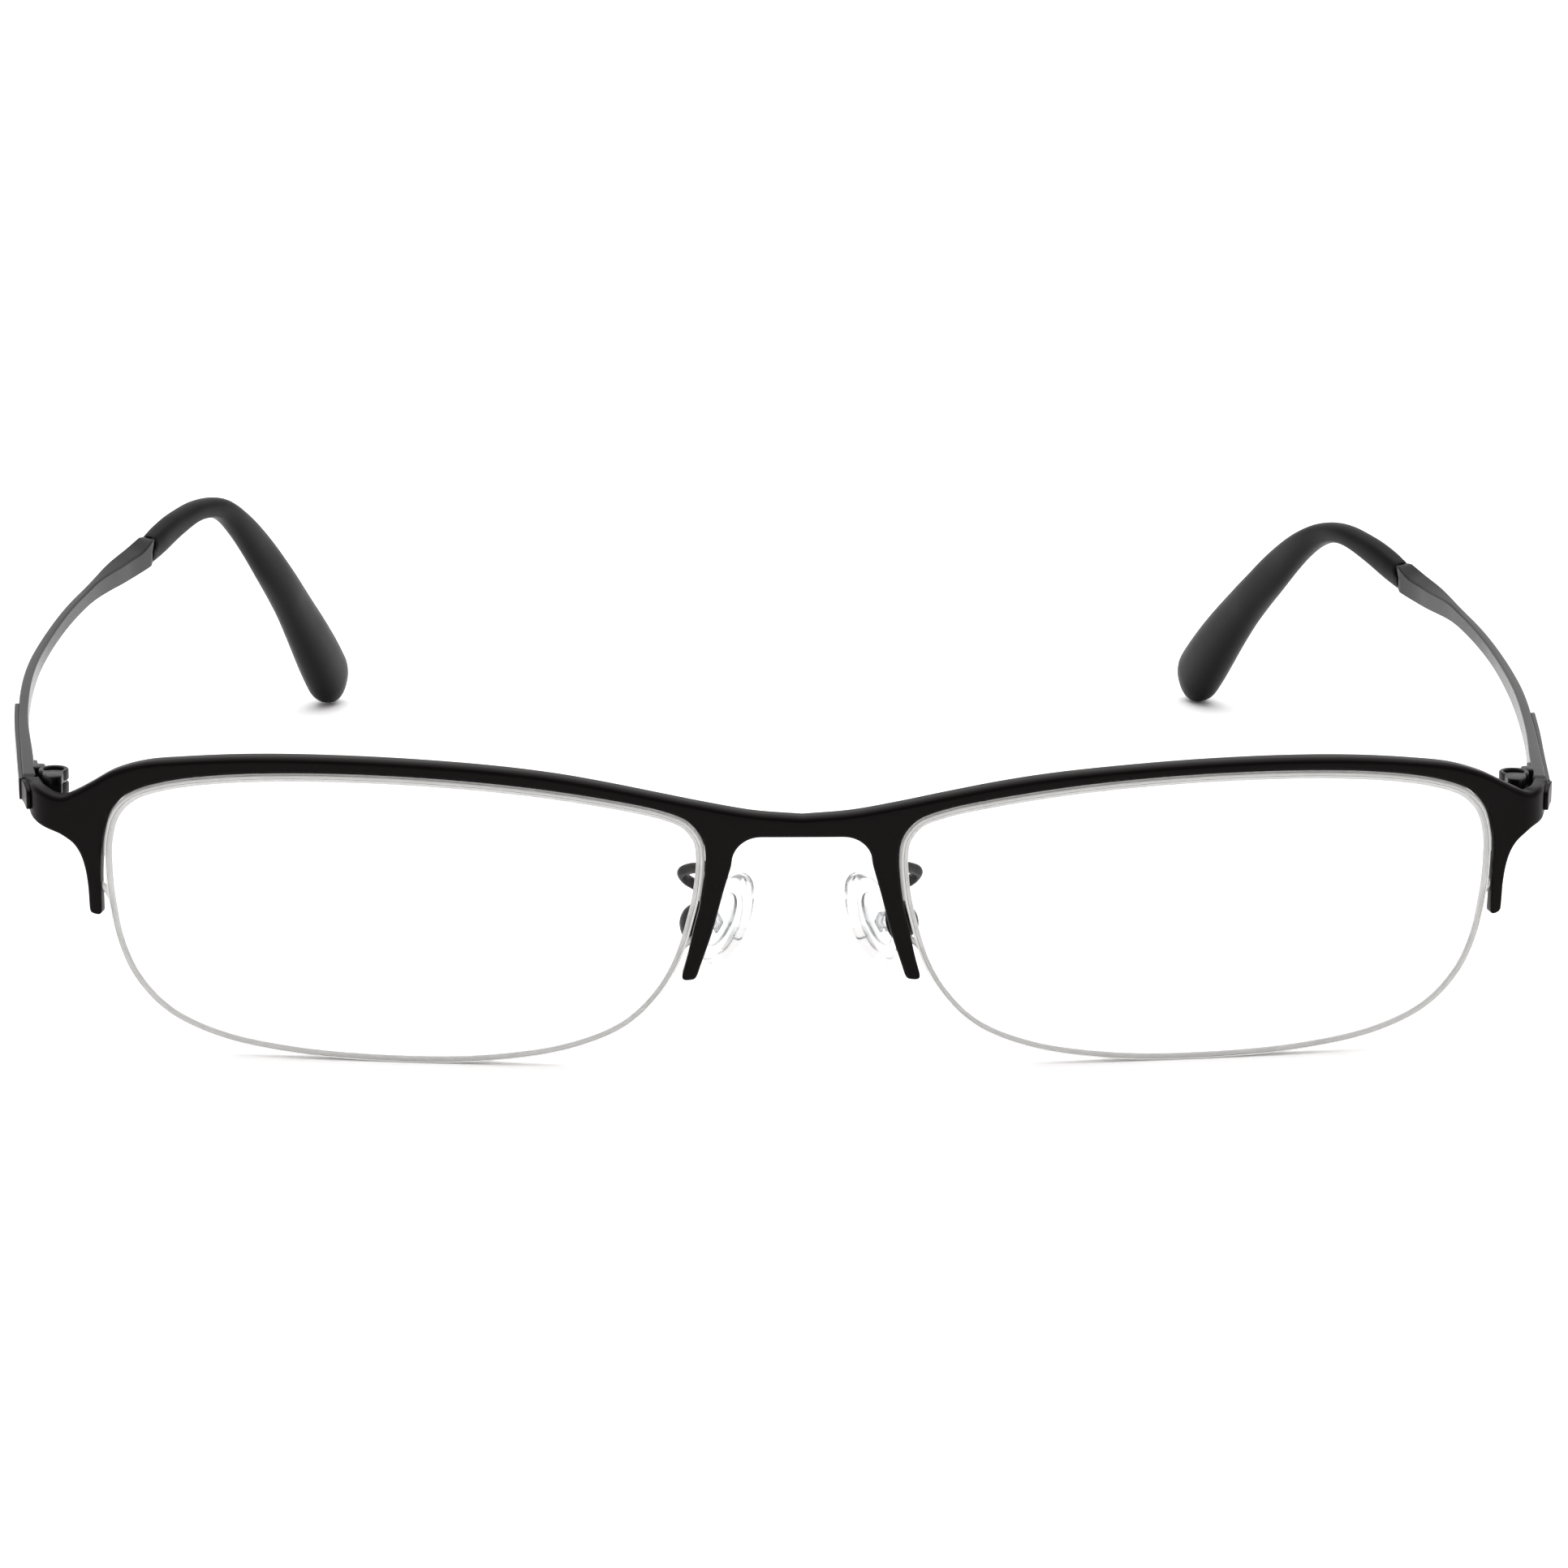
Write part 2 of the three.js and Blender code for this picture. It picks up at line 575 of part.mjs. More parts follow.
// Sweeps a section along part of a temple. size(t) gives the thickness and height at a fraction t
// of the part, and offset(t) how far the section's middle stands outside the middle line.
function alongTemple(side, curve, from, to, section, steps, size) {
  const up = new THREE.Vector3(0, 0, 1);
  return sweep(section, steps, (x, y, along) => {
    const fraction = THREE.MathUtils.lerp(from, to, along);
    const at = curve.getPointAt(fraction);
    const forward = curve.getTangentAt(fraction);
    const outward = new THREE.Vector3().crossVectors(forward, up).normalize();
    outward.multiplyScalar(Math.sign(outward.x) * side.sign);
    const lift = new THREE.Vector3().crossVectors(outward, forward).normalize();
    lift.multiplyScalar(Math.sign(lift.z));
    const { thickness, height } = size(along);
    return at.addScaledVector(outward, x * thickness).addScaledVector(lift, y * height);
  });
}

function seamFraction(curve) {
  let fraction = 0;
  while (curve.getPointAt(fraction).y < SEAM_Y) {
    fraction += 0.001;
  }
  return fraction;
}

// Reads a value from a short list of [fraction, value] pairs, with smooth steps between them.
function profile(pairs, at) {
  const next = pairs.findIndex(([fraction]) => fraction >= at);
  if (next <= 0) {
    return pairs[Math.max(next, 0)][1];
  }
  const [startAt, startValue] = pairs[next - 1];
  const [endAt, endValue] = pairs[next];
  const blend = THREE.MathUtils.smoothstep(at, startAt, endAt);
  return THREE.MathUtils.lerp(startValue, endValue, blend);
}

const STRIP_THICKNESS = [[0, 1.2], [0.27, 0.95], [0.8, 0.85], [1, 1.6]];
const STRIP_HEIGHT = [[0, ENDPIECE_HEIGHT], [0.3, 2.1], [0.6, 1.55], [0.78, 1.6], [1, 2.7]];
const TIP_THICKNESS = [[0, 2.2], [0.45, 2.6], [0.65, 3.3], [0.92, 4.3], [1, 4.2]];
const TIP_HEIGHT = [[0, 3.1], [0.25, 2.7], [0.6, 4.4], [0.92, 6.2], [1, 6.2]];
const TIP_END_START = 0.93;           // where the tip's round end begins, as a fraction

function templeCore(side, curve, seam, clearance = 0) {
  const total = curve.getLength();
  const from = seam - (clearance + 0.5) / total;
  const to = seam + (CORE_LENGTH + clearance) / total;
  return alongTemple(side, curve, from, to, squareSection(), 12, () => ({
    thickness: CORE_THICKNESS + 2 * clearance,
    height: CORE_HEIGHT + 2 * clearance,
  }));
}

function temple(side) {
  const curve = templeCurve(side);
  const seam = seamFraction(curve);
  const strip = alongTemple(side, curve, 0, seam, softSection(0.12), 26, (t) => ({
    thickness: profile(STRIP_THICKNESS, t),
    height: profile(STRIP_HEIGHT, t),
  }));
  return strip.add(templeCore(side, curve, seam));
}

function templeTip(side) {
  const curve = templeCurve(side);
  const seam = seamFraction(curve);
  const from = seam + SEAM_GAP / curve.getLength();
  const sleeve = alongTemple(side, curve, from, 1, roundSection(12), 24, (t) => {
    const intoEnd = Math.max(0, (t - TIP_END_START) / (1 - TIP_END_START));
    const rounding = Math.max(0.25, Math.sqrt(1 - intoEnd ** 2));
    return {
      thickness: profile(TIP_THICKNESS, t) * rounding,
      height: profile(TIP_HEIGHT, t) * rounding,
    };
  });
  return sleeve.subtract(templeCore(side, curve, seam, 0.15));
}

// The raised plate lies flat against the outside of the straight front part of the temple.
function templePlate(side) {
  const curve = templeCurve(side);
  const total = curve.getLength();
  const start = curve.getPointAt(0.8 / total);
  const end = curve.getPointAt((0.8 + PLATE_LENGTH) / total);
  const middle = start.clone().lerp(end, 0.5);
  const direction = end.clone().sub(start).normalize();
  const plate = new THREE.BoxGeometry(PLATE_THICKNESS, PLATE_LENGTH, PLATE_HEIGHT);
  const turn = new THREE.Matrix4().makeBasis(
    new THREE.Vector3(direction.y, -direction.x, 0).normalize(),
    direction,
    new THREE.Vector3(direction.y, -direction.x, 0).normalize().cross(direction),
  );
  const outside = STRIP_THICKNESS[0][1] / 2 + PLATE_GAP + PLATE_THICKNESS / 2;
  plate.translate(side.sign * outside, 0, 0).applyMatrix4(turn);
  return solid(plate.translate(middle.x, middle.y, middle.z));
}

// ---------------------------------------------------------------- nose pads

// Places a pad part, drawn on the cup's own axes, at the wearer's left, and mirrors it if needed.
function placePad(body, sign) {
  const up = PAD_UP.clone().addScaledVector(PAD_NORMAL, -PAD_UP.dot(PAD_NORMAL)).normalize();
  const across = new THREE.Vector3().crossVectors(up, PAD_NORMAL);
  const turn = new THREE.Matrix4().makeBasis(across, up, PAD_NORMAL).setPosition(CUP_CENTRE);
  return mirrored(solid(geometryOf(body).applyMatrix4(turn)), sign);
}

function crossHole(radius, length) {
  const geometry = new THREE.CylinderGeometry(radius, radius, length, 12).rotateZ(Math.PI / 2);
  return solid(geometry.translate(0, 0, PAD_PIVOT));
}

function padBox(sign) {
  const cup = turned([[0, -1.15], [0.95, -1.02], [1.55, -0.6], [CUP_RADIUS, 0.05],
    [CUP_RADIUS, 0.9], [CUP_BORE, 0.9], [CUP_BORE, -0.45], [0, -0.45]], 16);
  return placePad(cup.subtract(crossHole(PAD_PIN_HOLE, 2 * CUP_RADIUS + 1)), sign);
}

function padScrew(sign) {
  return placePad(crossHole(PAD_PIN_RADIUS, PAD_PIN_LENGTH), sign);
}

// The stiff core: a stem that the screw passes through, and an oval plate inside the pad.
function padCoreBody(clearance) {
  const stemWidth = 1.4 + 2 * clearance;
  const plateBase = PAD_BACK + 0.5;
  const stemLength = plateBase + 0.3;
  const stem = box(stemWidth, stemWidth, stemLength, 0, 0, stemLength / 2 - 0.3);
  const plate = sweep(roundSection(12), 1, (x, y, z) => new THREE.Vector3(
    x * (3.2 + 2 * clearance),
    y * (6 + 2 * clearance) + PAD_RISE / 2,
    plateBase - clearance + z * (0.5 + 2 * clearance),
  ));
  return stem.add(plate);
}

function padCore(sign) {
  return placePad(padCoreBody(0).subtract(crossHole(PAD_PIN_HOLE, 4)), sign);
}

// The pad is an oval lens shape, flatter at the back, with a pocket for the core.
function nosePad(sign) {
  const rings = [[0.72, 0], [0.93, 0.17], [1, 0.65], [0.93, 1.3], [0.7, 1.85], [0.4, 2.13]];
  const body = turned([[0, 0], ...rings, [0, 2.2]], 24);
  const oval = solid(reshape(geometryOf(body), (x, y, z) => {
    const narrowing = 1 - 0.12 * y;
    const across = (x * narrowing * PAD_WIDTH) / 2;
    return new THREE.Vector3(across, (y * PAD_LENGTH) / 2 + PAD_RISE, z + PAD_BACK);
  }));
  return placePad(oval.subtract(padCoreBody(0.06)), sign);
}

// The arm: a wire from the back of the nose-side leg, looping out behind the lens to the cup.
function padArm(sign) {
  const route = [[7.9, 3.45, 18.8], [8.5, 4.9, 18.75], [9.8, 6.7, 18.3], [10.6, 7.9, 17.6],
    [10.2, 8.8, 16.65], [9.1, 9.0, 15.85], [8.6, 8.7, 15.0], [8.93, 8.75, 14.1]];
  const points = route.map(([x, y, z]) => new THREE.Vector3(sign * x, y, z));
  const wire = new THREE.CatmullRomCurve3(points, false, 'centripetal');
  const circle = new THREE.Shape().absarc(0, 0, ARM_RADIUS, 0, 2 * Math.PI);
  return solid(extrude(circle, 0, { extrudePath: wire, steps: 16, curveSegments: 4 }));
}

// ---------------------------------------------------------------- assembly

const glasses = new THREE.Group();

function addPiece(name, body, surface) {
  const mesh = new THREE.Mesh(geometryOf(body), surface);
  mesh.name = name;
  glasses.add(mesh);
}

addPiece('front_frame', frontFrame(), blackMetal);
for (const side of SIDES) {
  const { name, sign } = side;
  addPiece(`lens_${name}`, lens(sign), clearLens);
  addPiece(`rim_liner_${name}`, rimLiner(sign), clearNylon);
  addPiece(`nylon_cord_${name}`, nylonCord(sign), clearNylon);
  addPiece(`hinge_front_leaf_${name}`, hingeFrontLeaf(side), greyMetal);
  addPiece(`hinge_temple_leaf_${name}`, hingeTempleLeaf(side), greyMetal);
  addPiece(`hinge_screw_${name}`, hingeScrew(side), steel);
  addPiece(`hinge_washer_lower_${name}`, hingeWasher(side, LOWER_GAP_BASE), clearNylon);
  addPiece(`hinge_washer_upper_${name}`, hingeWasher(side, UPPER_GAP_BASE), clearNylon);
  addPiece(`temple_${name}`, temple(side), greyMetal);
  addPiece(`temple_plate_${name}`, templePlate(side), greyMetal);
  addPiece(`temple_tip_${name}`, templeTip(side), blackPlastic);
  addPiece(`pad_arm_${name}`, padArm(sign), blackMetal);
  addPiece(`pad_box_${name}`, padBox(sign), blackMetal);
  addPiece(`pad_screw_${name}`, padScrew(sign), steel);
  addPiece(`pad_core_${name}`, padCore(sign), smokyPlastic);
  addPiece(`nose_pad_${name}`, nosePad(sign), clearSilicone);
}

const bounds = new THREE.Box3().setFromObject(glasses);
const middle = bounds.getCenter(new THREE.Vector3());
glasses.position.set(-middle.x, -middle.y, -bounds.min.z);

export default glasses;
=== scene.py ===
"""Half rim eyeglasses standing open on a white table.

Shapes are drawn in millimetres in the drawing frame of the CAD part: zero at the middle of the
bridge, the table at height 0, the wearer facing -Y and the wearer's left at +X. make_piece() moves
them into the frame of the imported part, in metres.
"""

import json
import math

import bmesh
import bpy
import numpy as np
from mathutils import Matrix, Vector


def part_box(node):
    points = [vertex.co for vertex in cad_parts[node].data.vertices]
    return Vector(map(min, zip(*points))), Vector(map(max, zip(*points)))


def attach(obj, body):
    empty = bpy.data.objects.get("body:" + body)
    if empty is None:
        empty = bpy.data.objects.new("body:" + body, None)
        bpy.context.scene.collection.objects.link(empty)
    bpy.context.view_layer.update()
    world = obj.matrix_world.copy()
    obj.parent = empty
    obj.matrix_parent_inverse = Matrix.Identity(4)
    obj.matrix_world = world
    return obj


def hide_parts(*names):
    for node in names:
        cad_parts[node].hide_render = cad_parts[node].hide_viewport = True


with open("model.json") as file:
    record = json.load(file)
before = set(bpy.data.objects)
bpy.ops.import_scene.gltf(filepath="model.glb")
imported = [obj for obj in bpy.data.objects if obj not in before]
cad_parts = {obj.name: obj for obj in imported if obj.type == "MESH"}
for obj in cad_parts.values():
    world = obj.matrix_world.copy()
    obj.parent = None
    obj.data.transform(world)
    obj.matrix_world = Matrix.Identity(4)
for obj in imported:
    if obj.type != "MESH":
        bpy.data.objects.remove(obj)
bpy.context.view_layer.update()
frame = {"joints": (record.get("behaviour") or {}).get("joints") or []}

MM = 0.001

# ------------------------------------------------------------------ dimensions, in millimetres

FACE_RADIUS = 300.0
TILT = math.radians(7)
TILT_HEIGHT = 28.0
FRONT_MIDDLE = 14.0
BAR_DEPTH = 1.8
BEND_RADIUS = 3.2
BEND_HEADING = math.radians(74)
ENDPIECE_DEPTH = 1.3
ENDPIECE_HEIGHT = 2.4
JOINT_Y = 12.5  # where each endpiece ends and its temple begins
JOINT_GAP = 0.06

LENS_THICKNESS = 1.5
RIM_GAP = 0.25
RIM_OPEN_TOP = 15.0
CORD_GAP = 0.05
CORD_RADIUS = 0.27
CORD_INSET = 0.33
CORD_DEPTH = BAR_DEPTH / 2

HINGE_MIDDLE = 24.1
HINGE_BASE = 22.2
KNUCKLE_HEIGHT = 1.0
KNUCKLE_GAP = 0.25
KNUCKLE_RADIUS = 1.36
COUNTERBORE = 0.94
SEAM_Y = 97.0

CUP_CENTRE = Vector((9.5, 9.5, 12.4))
PAD_NORMAL = Vector((-0.84, 0.49, -0.24)).normalized()
PAD_UP = Vector((-0.42, -0.3, 0.86))

# What differs between the two sides. bar_lift adds (distance across, height) to BAR_TOP; leg_* move
# the faces of the leg by the temple; foot is the height of its end, outside and inside; metal is
# the plan of the temple up to the seam, and tip its route from there, as (x, y, z).
SIDES = {
    "right": dict(
        sign=-1, bend_start=67.1, end_height=24.1, hinge=(67.6, 13.9), seam_height=27.0,
        bar_lift=[(0, 0.22), (44, 0.34), (55, 0.45), (62.5, 1.05), (64.5, 0.85), (66.5, 0.3)],
        leg_outside=0.38, leg_inside=0.0, foot=(13.5, 13.35),
        metal=[(69.7, 12.7), (70.7, 21), (72.2, 34), (72.9, 47.5), (72.6, 58), (71, 73),
               (68.6, 85), (65.3, 97)],
        tip=[(62.7, 104, 28.3), (60.5, 109, 28.8), (58.5, 113, 28), (56.6, 117, 25.2),
             (53.2, 125, 17.5), (51, 131.5, 11.1), (47.8, 141.7, 0.65)],
    ),
    "left": dict(
        sign=1, bend_start=65.3, end_height=23.5, hinge=(65.4, 13.7), seam_height=23.9,
        bar_lift=[(0, 0.22), (15, 0.28), (26, 0.03), (56, 0.03), (61, 0.33), (63.5, 0.55),
                  (66.5, 0.2)],
        leg_outside=0.05, leg_inside=0.18, foot=(13.2, 12.9),
        metal=[(67.65, 12.7), (68.45, 21), (69.65, 33), (70.6, 49), (70.4, 67), (68.95, 82),
               (66, 97)],
        tip=[(63.2, 103.5, 25.4), (60.9, 108.5, 26), (59.2, 112.5, 25.2), (57.3, 116.5, 23),
             (53.7, 125.5, 15.9), (51.2, 132, 10.1), (47.8, 141.7, 0.65)],
    ),
}

joint_at = {joint["name"]: Vector(joint["pos_m"]) for joint in frame["joints"]}
left_hinge = SIDES["left"]["hinge"]
ORIGIN = Vector((
    joint_at["temple_fold_left"].x - left_hinge[0] * MM,
    joint_at["temple_fold_left"].y - left_hinge[1] * MM,
    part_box("lens_left")[0].z - CORD_GAP * MM,
))

# ------------------------------------------------------------------ curves


def clamp01(value):
    return min(1.0, max(0.0, value))


def smoothstep(value, low, high):
    t = clamp01((value - low) / (high - low))
    return t * t * (3 - 2 * t)


def lerp(a, b, t):
    return a + (b - a) * t


def smooth_line(points, closed=False, per_span=24):
    """A centripetal Catmull-Rom curve through the points, as a fine line of points."""
    pts = np.array(points, float)
    count = len(pts)
    line = []
    for i in range(count if closed else count - 1):
        if closed:
            p0, p1, p2, p3 = (pts[(i + k) % count] for k in (-1, 0, 1, 2))
        else:
            p1, p2 = pts[i], pts[i + 1]
            p0 = pts[i - 1] if i else 2 * p1 - p2
            p3 = pts[i + 2] if i + 2 < count else 2 * p2 - p1
        d0, d1, d2 = (
            max(np.linalg.norm(b - a), 1e-9) ** 0.5 for a, b in ((p0, p1), (p1, p2), (p2, p3))
        )
        t1 = ((p1 - p0) / d0 - (p2 - p0) / (d0 + d1) + (p2 - p1) / d1) * d1
        t2 = ((p2 - p1) / d1 - (p3 - p1) / (d1 + d2) + (p3 - p2) / d2) * d1
        for k in range(per_span):
            t = k / per_span
            line.append(
                p1 + t1 * t + (-3 * p1 + 3 * p2 - 2 * t1 - t2) * t**2
                + (2 * p1 - 2 * p2 + t1 + t2) * t**3
            )
    if not closed:
        line.append(pts[-1])
    return np.array(line)


class Path:
    """A line of points read by the fraction of its length."""

    def __init__(self, line, closed=False):
        self.line = np.vstack([line, line[:1]]) if closed else line
        steps = np.linalg.norm(np.diff(self.line, axis=0), axis=1)
        self.reach = np.concatenate([[0.0], np.cumsum(steps)])
        self.length = self.reach[-1]

    def at(self, fraction):
        want = clamp01(fraction) * self.length
        return np.array([np.interp(want, self.reach, column) for column in self.line.T])

    def along(self, fraction):
        """The direction of the line, over a short step to either side."""
        step = 0.15 / self.length
        way = self.at(min(1, fraction + step)) - self.at(max(0, fraction - step))
        return way / np.linalg.norm(way)


def resample(line, spacing):
    path = Path(np.array(line, float))
    count = max(1, round(path.length / spacing))
    return [path.at(i / count) for i in range(count + 1)]


# ------------------------------------------------------------------ the bent front


def plan_point(across, bend_start):
    """Where a distance across the front comes in plan: x, y and the heading there."""
    if across <= bend_start:
        return across, across**2 / (2 * FACE_RADIUS), math.atan(across / FACE_RADIUS)
    start_x, start_y, start_heading = plan_point(bend_start, bend_start)
    turn = min((across - bend_start) / BEND_RADIUS, BEND_HEADING - start_heading)
    heading = start_heading + turn
    straight = across - bend_start - turn * BEND_RADIUS
    x = start_x + BEND_RADIUS * (math.sin(heading) - math.sin(start_heading))
    y = start_y + BEND_RADIUS * (math.cos(start_heading) - math.cos(heading))
    return x + straight * math.cos(heading), y + straight * math.sin(heading), heading


def bend_front(u, v, w):
    """A point drawn flat, u across, v up and w deep, on the front as it is bent."""
    side = SIDES["right" if u < 0 else "left"]
    start, end_height = side["bend_start"], side["end_height"]
    x, y, heading = plan_point(abs(u), start)
    height = lerp(v, end_height, smoothstep(abs(u), start - 2, start + 1))
    lean = (TILT_HEIGHT - height) * math.tan(TILT)
    bulge = (height - FRONT_MIDDLE) ** 2 / (2 * FACE_RADIUS)
    x -= w * math.sin(heading)
    y += w * math.cos(heading) + lean + bulge
    return (-x if u < 0 else x, y, v)


RIM_TOP = [
    (8.75, 18.5), (8.65, 20.5), (8.95, 22.3), (10.2, 23.95), (12.4, 24.9), (17.3, 25.95),
    (25.7, 27.1), (35.8, 27.75), (45.5, 27.75), (52.5, 27.25), (57.5, 26.35), (60.4, 25.2),
    (62.1, 23.4), (62.85, 21.0), (63.0, 18.5),
]
RIM_BOTTOM = [
    (63.0, 18.5), (62.8, 15.0), (62.05, 11.3), (60.5, 7.4), (57.6, 4.1), (53.0, 1.85),
    (46.0, 0.5), (36.0, 0.0), (28.0, 0.35), (20.6, 1.75), (15.6, 4.1), (12.3, 7.7),
    (10.3, 11.9), (9.15, 15.8), (8.75, 18.5),
]
rim = Path(smooth_line(RIM_TOP + RIM_BOTTOM[1:-1], closed=True), closed=True)


def rim_point(fraction, inset):
    """A point on the rim's outline, moved in towards the lens by the inset."""
    fraction %= 1.0
    u, v = rim.at(fraction)
    along_u, along_v = rim.along(fraction)
    return u + along_v * inset, v - along_u * inset


def lens_inset(fraction):
    """The gap round the lens: CORD_GAP at the bottom, RIM_GAP beside the frame."""
    height = rim.at(fraction % 1.0)[1]
    return lerp(CORD_GAP, RIM_GAP, smoothstep(height, RIM_OPEN_TOP - 5, RIM_OPEN_TOP))


def rim_fraction(height, nose_side):
    """The fraction round the rim that is nearest to a height, on the nose side or the other."""
    middle = (RIM_TOP[0][0] + RIM_TOP[-1][0]) / 2
    count = 1000
    found = [
        (abs(rim.at(i / count)[1] - height), i / count)
        for i in range(count)
        if (rim.at(i / count)[0] < middle) == nose_side
    ]
    return min(found)[1]


# ------------------------------------------------------------------ materials


def new_material(name):
    material = bpy.data.materials.new(name)
    material.use_nodes = True
    return material, material.node_tree.nodes, material.node_tree.links


def add_noise(nodes, links, scale, detail=3.0):
    where = nodes.new("ShaderNodeTexCoord")
    noise = nodes.new("ShaderNodeTexNoise")
    noise.inputs["Scale"].default_value = scale
    noise.inputs["Detail"].default_value = detail
    links.new(where.outputs["Object"], noise.inputs["Vector"])
    return noise


def add_range(nodes, from_low, from_high, to_low, to_high):
    """A node that carries one range of values over to another."""
    node = nodes.new("ShaderNodeMapRange")
    node.inputs["From Min"].default_value = from_low
    node.inputs["From Max"].default_value = from_high
    node.inputs["To Min"].default_value = to_low
    node.inputs["To Max"].default_value = to_high
    return node


def add_bump(nodes, links, height, shader, strength, distance):
    bump = nodes.new("ShaderNodeBump")
    bump.inputs["Strength"].default_value = strength
    bump.inputs["Distance"].default_value = distance
    links.new(height.outputs["Fac"], bump.inputs["Height"])
    links.new(bump.outputs["Normal"], shader.inputs["Normal"])


def finish_material(
    name, colour, roughness, metallic=0.0, specular=0.5, spread=0.15, patch_scale=400.0,
    grain_scale=6000.0, grain=0.02, shine=(1.0, 1.0, 1.0),
):
    """An opaque finish: colour and roughness drift a little in patches, with a fine grain."""
    material, nodes, links = new_material(name)
    shader = nodes["Principled BSDF"]
    shader.inputs["Metallic"].default_value = metallic
    shader.inputs["Specular IOR Level"].default_value = specular
    shader.inputs["Specular Tint"].default_value = (*shine, 1)
    patches = add_noise(nodes, links, patch_scale)
    ramp = nodes.new("ShaderNodeValToRGB")
    darker = [channel * (1 - spread) for channel in colour]
    lighter = [channel * (1 + spread) for channel in colour]
    ramp.color_ramp.elements[0].position = 0.3
    ramp.color_ramp.elements[0].color = (*darker, 1)
    ramp.color_ramp.elements[1].position = 0.7
    ramp.color_ramp.elements[1].color = (*lighter, 1)
    links.new(patches.outputs["Fac"], ramp.inputs["Fac"])
    links.new(ramp.outputs["Color"], shader.inputs["Base Color"])
    rough = add_range(nodes, 0.0, 1.0, roughness * 0.88, roughness * 1.12)
    links.new(patches.outputs["Fac"], rough.inputs["Value"])
    links.new(rough.outputs["Result"], shader.inputs["Roughness"])
    fine = add_noise(nodes, links, grain_scale, detail=2.0)
    add_bump(nodes, links, fine, shader, grain, 0.0001)
    return material


def clear_material(
    name, colour, roughness, ior, ripple=0.0, ripple_scale=800.0, transmission=1.0, shine=1.0,
):
    """A clear finish. A shine below 1 stands for an anti-reflection coat."""
    material, nodes, links = new_material(name)
    shader = nodes["Principled BSDF"]
    shader.inputs["Base Color"].default_value = (*colour, 1)
    shader.inputs["Roughness"].default_value = roughness
    shader.inputs["IOR"].default_value = ior
    shader.inputs["Transmission Weight"].default_value = transmission
    shader.inputs["Specular Tint"].default_value = (shine, shine, shine, 1)
    if ripple:
        waves = add_noise(nodes, links, ripple_scale)
        add_bump(nodes, links, waves, shader, ripple, 0.0002)
    return material


black_paint = finish_material(
    "satin_black_paint", (0.001, 0.0007, 0.0008), 0.35, specular=0.082, spread=0.2, grain=0.05,
    shine=(1.0, 0.88, 0.88))
gunmetal = finish_material(
    "gunmetal", (0.0065, 0.0063, 0.0068), 0.23, metallic=0.02, specular=0.11, spread=0.12,
    grain=0.025)
dark_metal = finish_material(
    "dark_hinge_metal", (0.006, 0.0058, 0.006), 0.32, metallic=0.05, specular=0.2, spread=0.2,
    grain=0.05)
screw_steel = finish_material(
    "screw_steel", (0.012, 0.006, 0.005), 0.4, metallic=0.2, specular=0.3, spread=0.3, grain=0.05)
tip_plastic = finish_material(
    "matte_black_tip", (0.0018, 0.0017, 0.0019), 0.4, specular=0.085, spread=0.2,
    grain_scale=9000.0, grain=0.06)
lens_glass = clear_material("coated_lens", (1.0, 1.0, 1.0), 0.0, 1.5, shine=0.2)
lens_edge = clear_material(
    "lens_ground_edge", (0.995, 0.995, 0.985), 0.5, 1.08, ripple=0.1, ripple_scale=3000.0,
    transmission=0.3)
# Painted shade: darker, less clear glass for a thin band inside each chamfer of the lens, standing
# in for the grey line that the chamfer's edge shows.
lens_painted_shade = clear_material(
    "lens_chamfer_painted_shade", (0.3, 0.3, 0.28), 0.4, 1.08, ripple=0.1, ripple_scale=3000.0,
    transmission=0.1)
nylon = clear_material(
    "clear_nylon", (0.985, 0.98, 0.96), 0.3, 1.5, ripple=0.1, transmission=0.25)
silicone = clear_material(
    "clear_silicone", (0.985, 0.988, 0.988), 0.1, 1.33, ripple=0.05, shine=0.5)
core_plastic = clear_material("clear_grey_core", (0.8, 0.81, 0.82), 0.2, 1.42, ripple=0.1)

# ------------------------------------------------------------------ mesh helpers


def make_piece(name, mesh_data, materials, body, slot, replaced, smooth_angle=35):
    """Makes a piece from (vertices in millimetres, faces, material index of each face)."""
    vertices, faces, kinds = mesh_data
    mesh = bpy.data.meshes.new(name)
    mesh.from_pydata([Vector(p) * MM + ORIGIN for p in vertices], [], faces)
    bm = bmesh.new()
    bm.from_mesh(mesh)
    bmesh.ops.remove_doubles(bm, verts=bm.verts, dist=1e-7)
    bmesh.ops.recalc_face_normals(bm, faces=bm.faces)
    bm.to_mesh(mesh)
    bm.free()
    for material in materials:
        mesh.materials.append(material)
    if kinds and len(kinds) == len(mesh.polygons):
        mesh.polygons.foreach_set("material_index", kinds)
    mesh.shade_smooth()
    mesh.set_sharp_from_angle(angle=math.radians(smooth_angle))
    piece = bpy.data.objects.new(name, mesh)
    bpy.context.scene.collection.objects.link(piece)
    weighted = piece.modifiers.new("weighted_normals", "WEIGHTED_NORMAL")
    weighted.keep_sharp = True
    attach(piece, body)
    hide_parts(*replaced)
    return piece


def merge(*parts):
    """Several (vertices, faces, kinds) as one."""
    vertices, faces, kinds = [], [], []
    for part_vertices, part_faces, part_kinds in parts:
        start = len(vertices)
        vertices += list(part_vertices)
        faces += [tuple(i + start for i in face) for face in part_faces]
        kinds += part_kinds or [0] * len(part_faces)
    return vertices, faces, kinds


def moved(part, place):
    vertices, faces, kinds = part
    return [place(Vector(p)) for p in vertices], faces, kinds


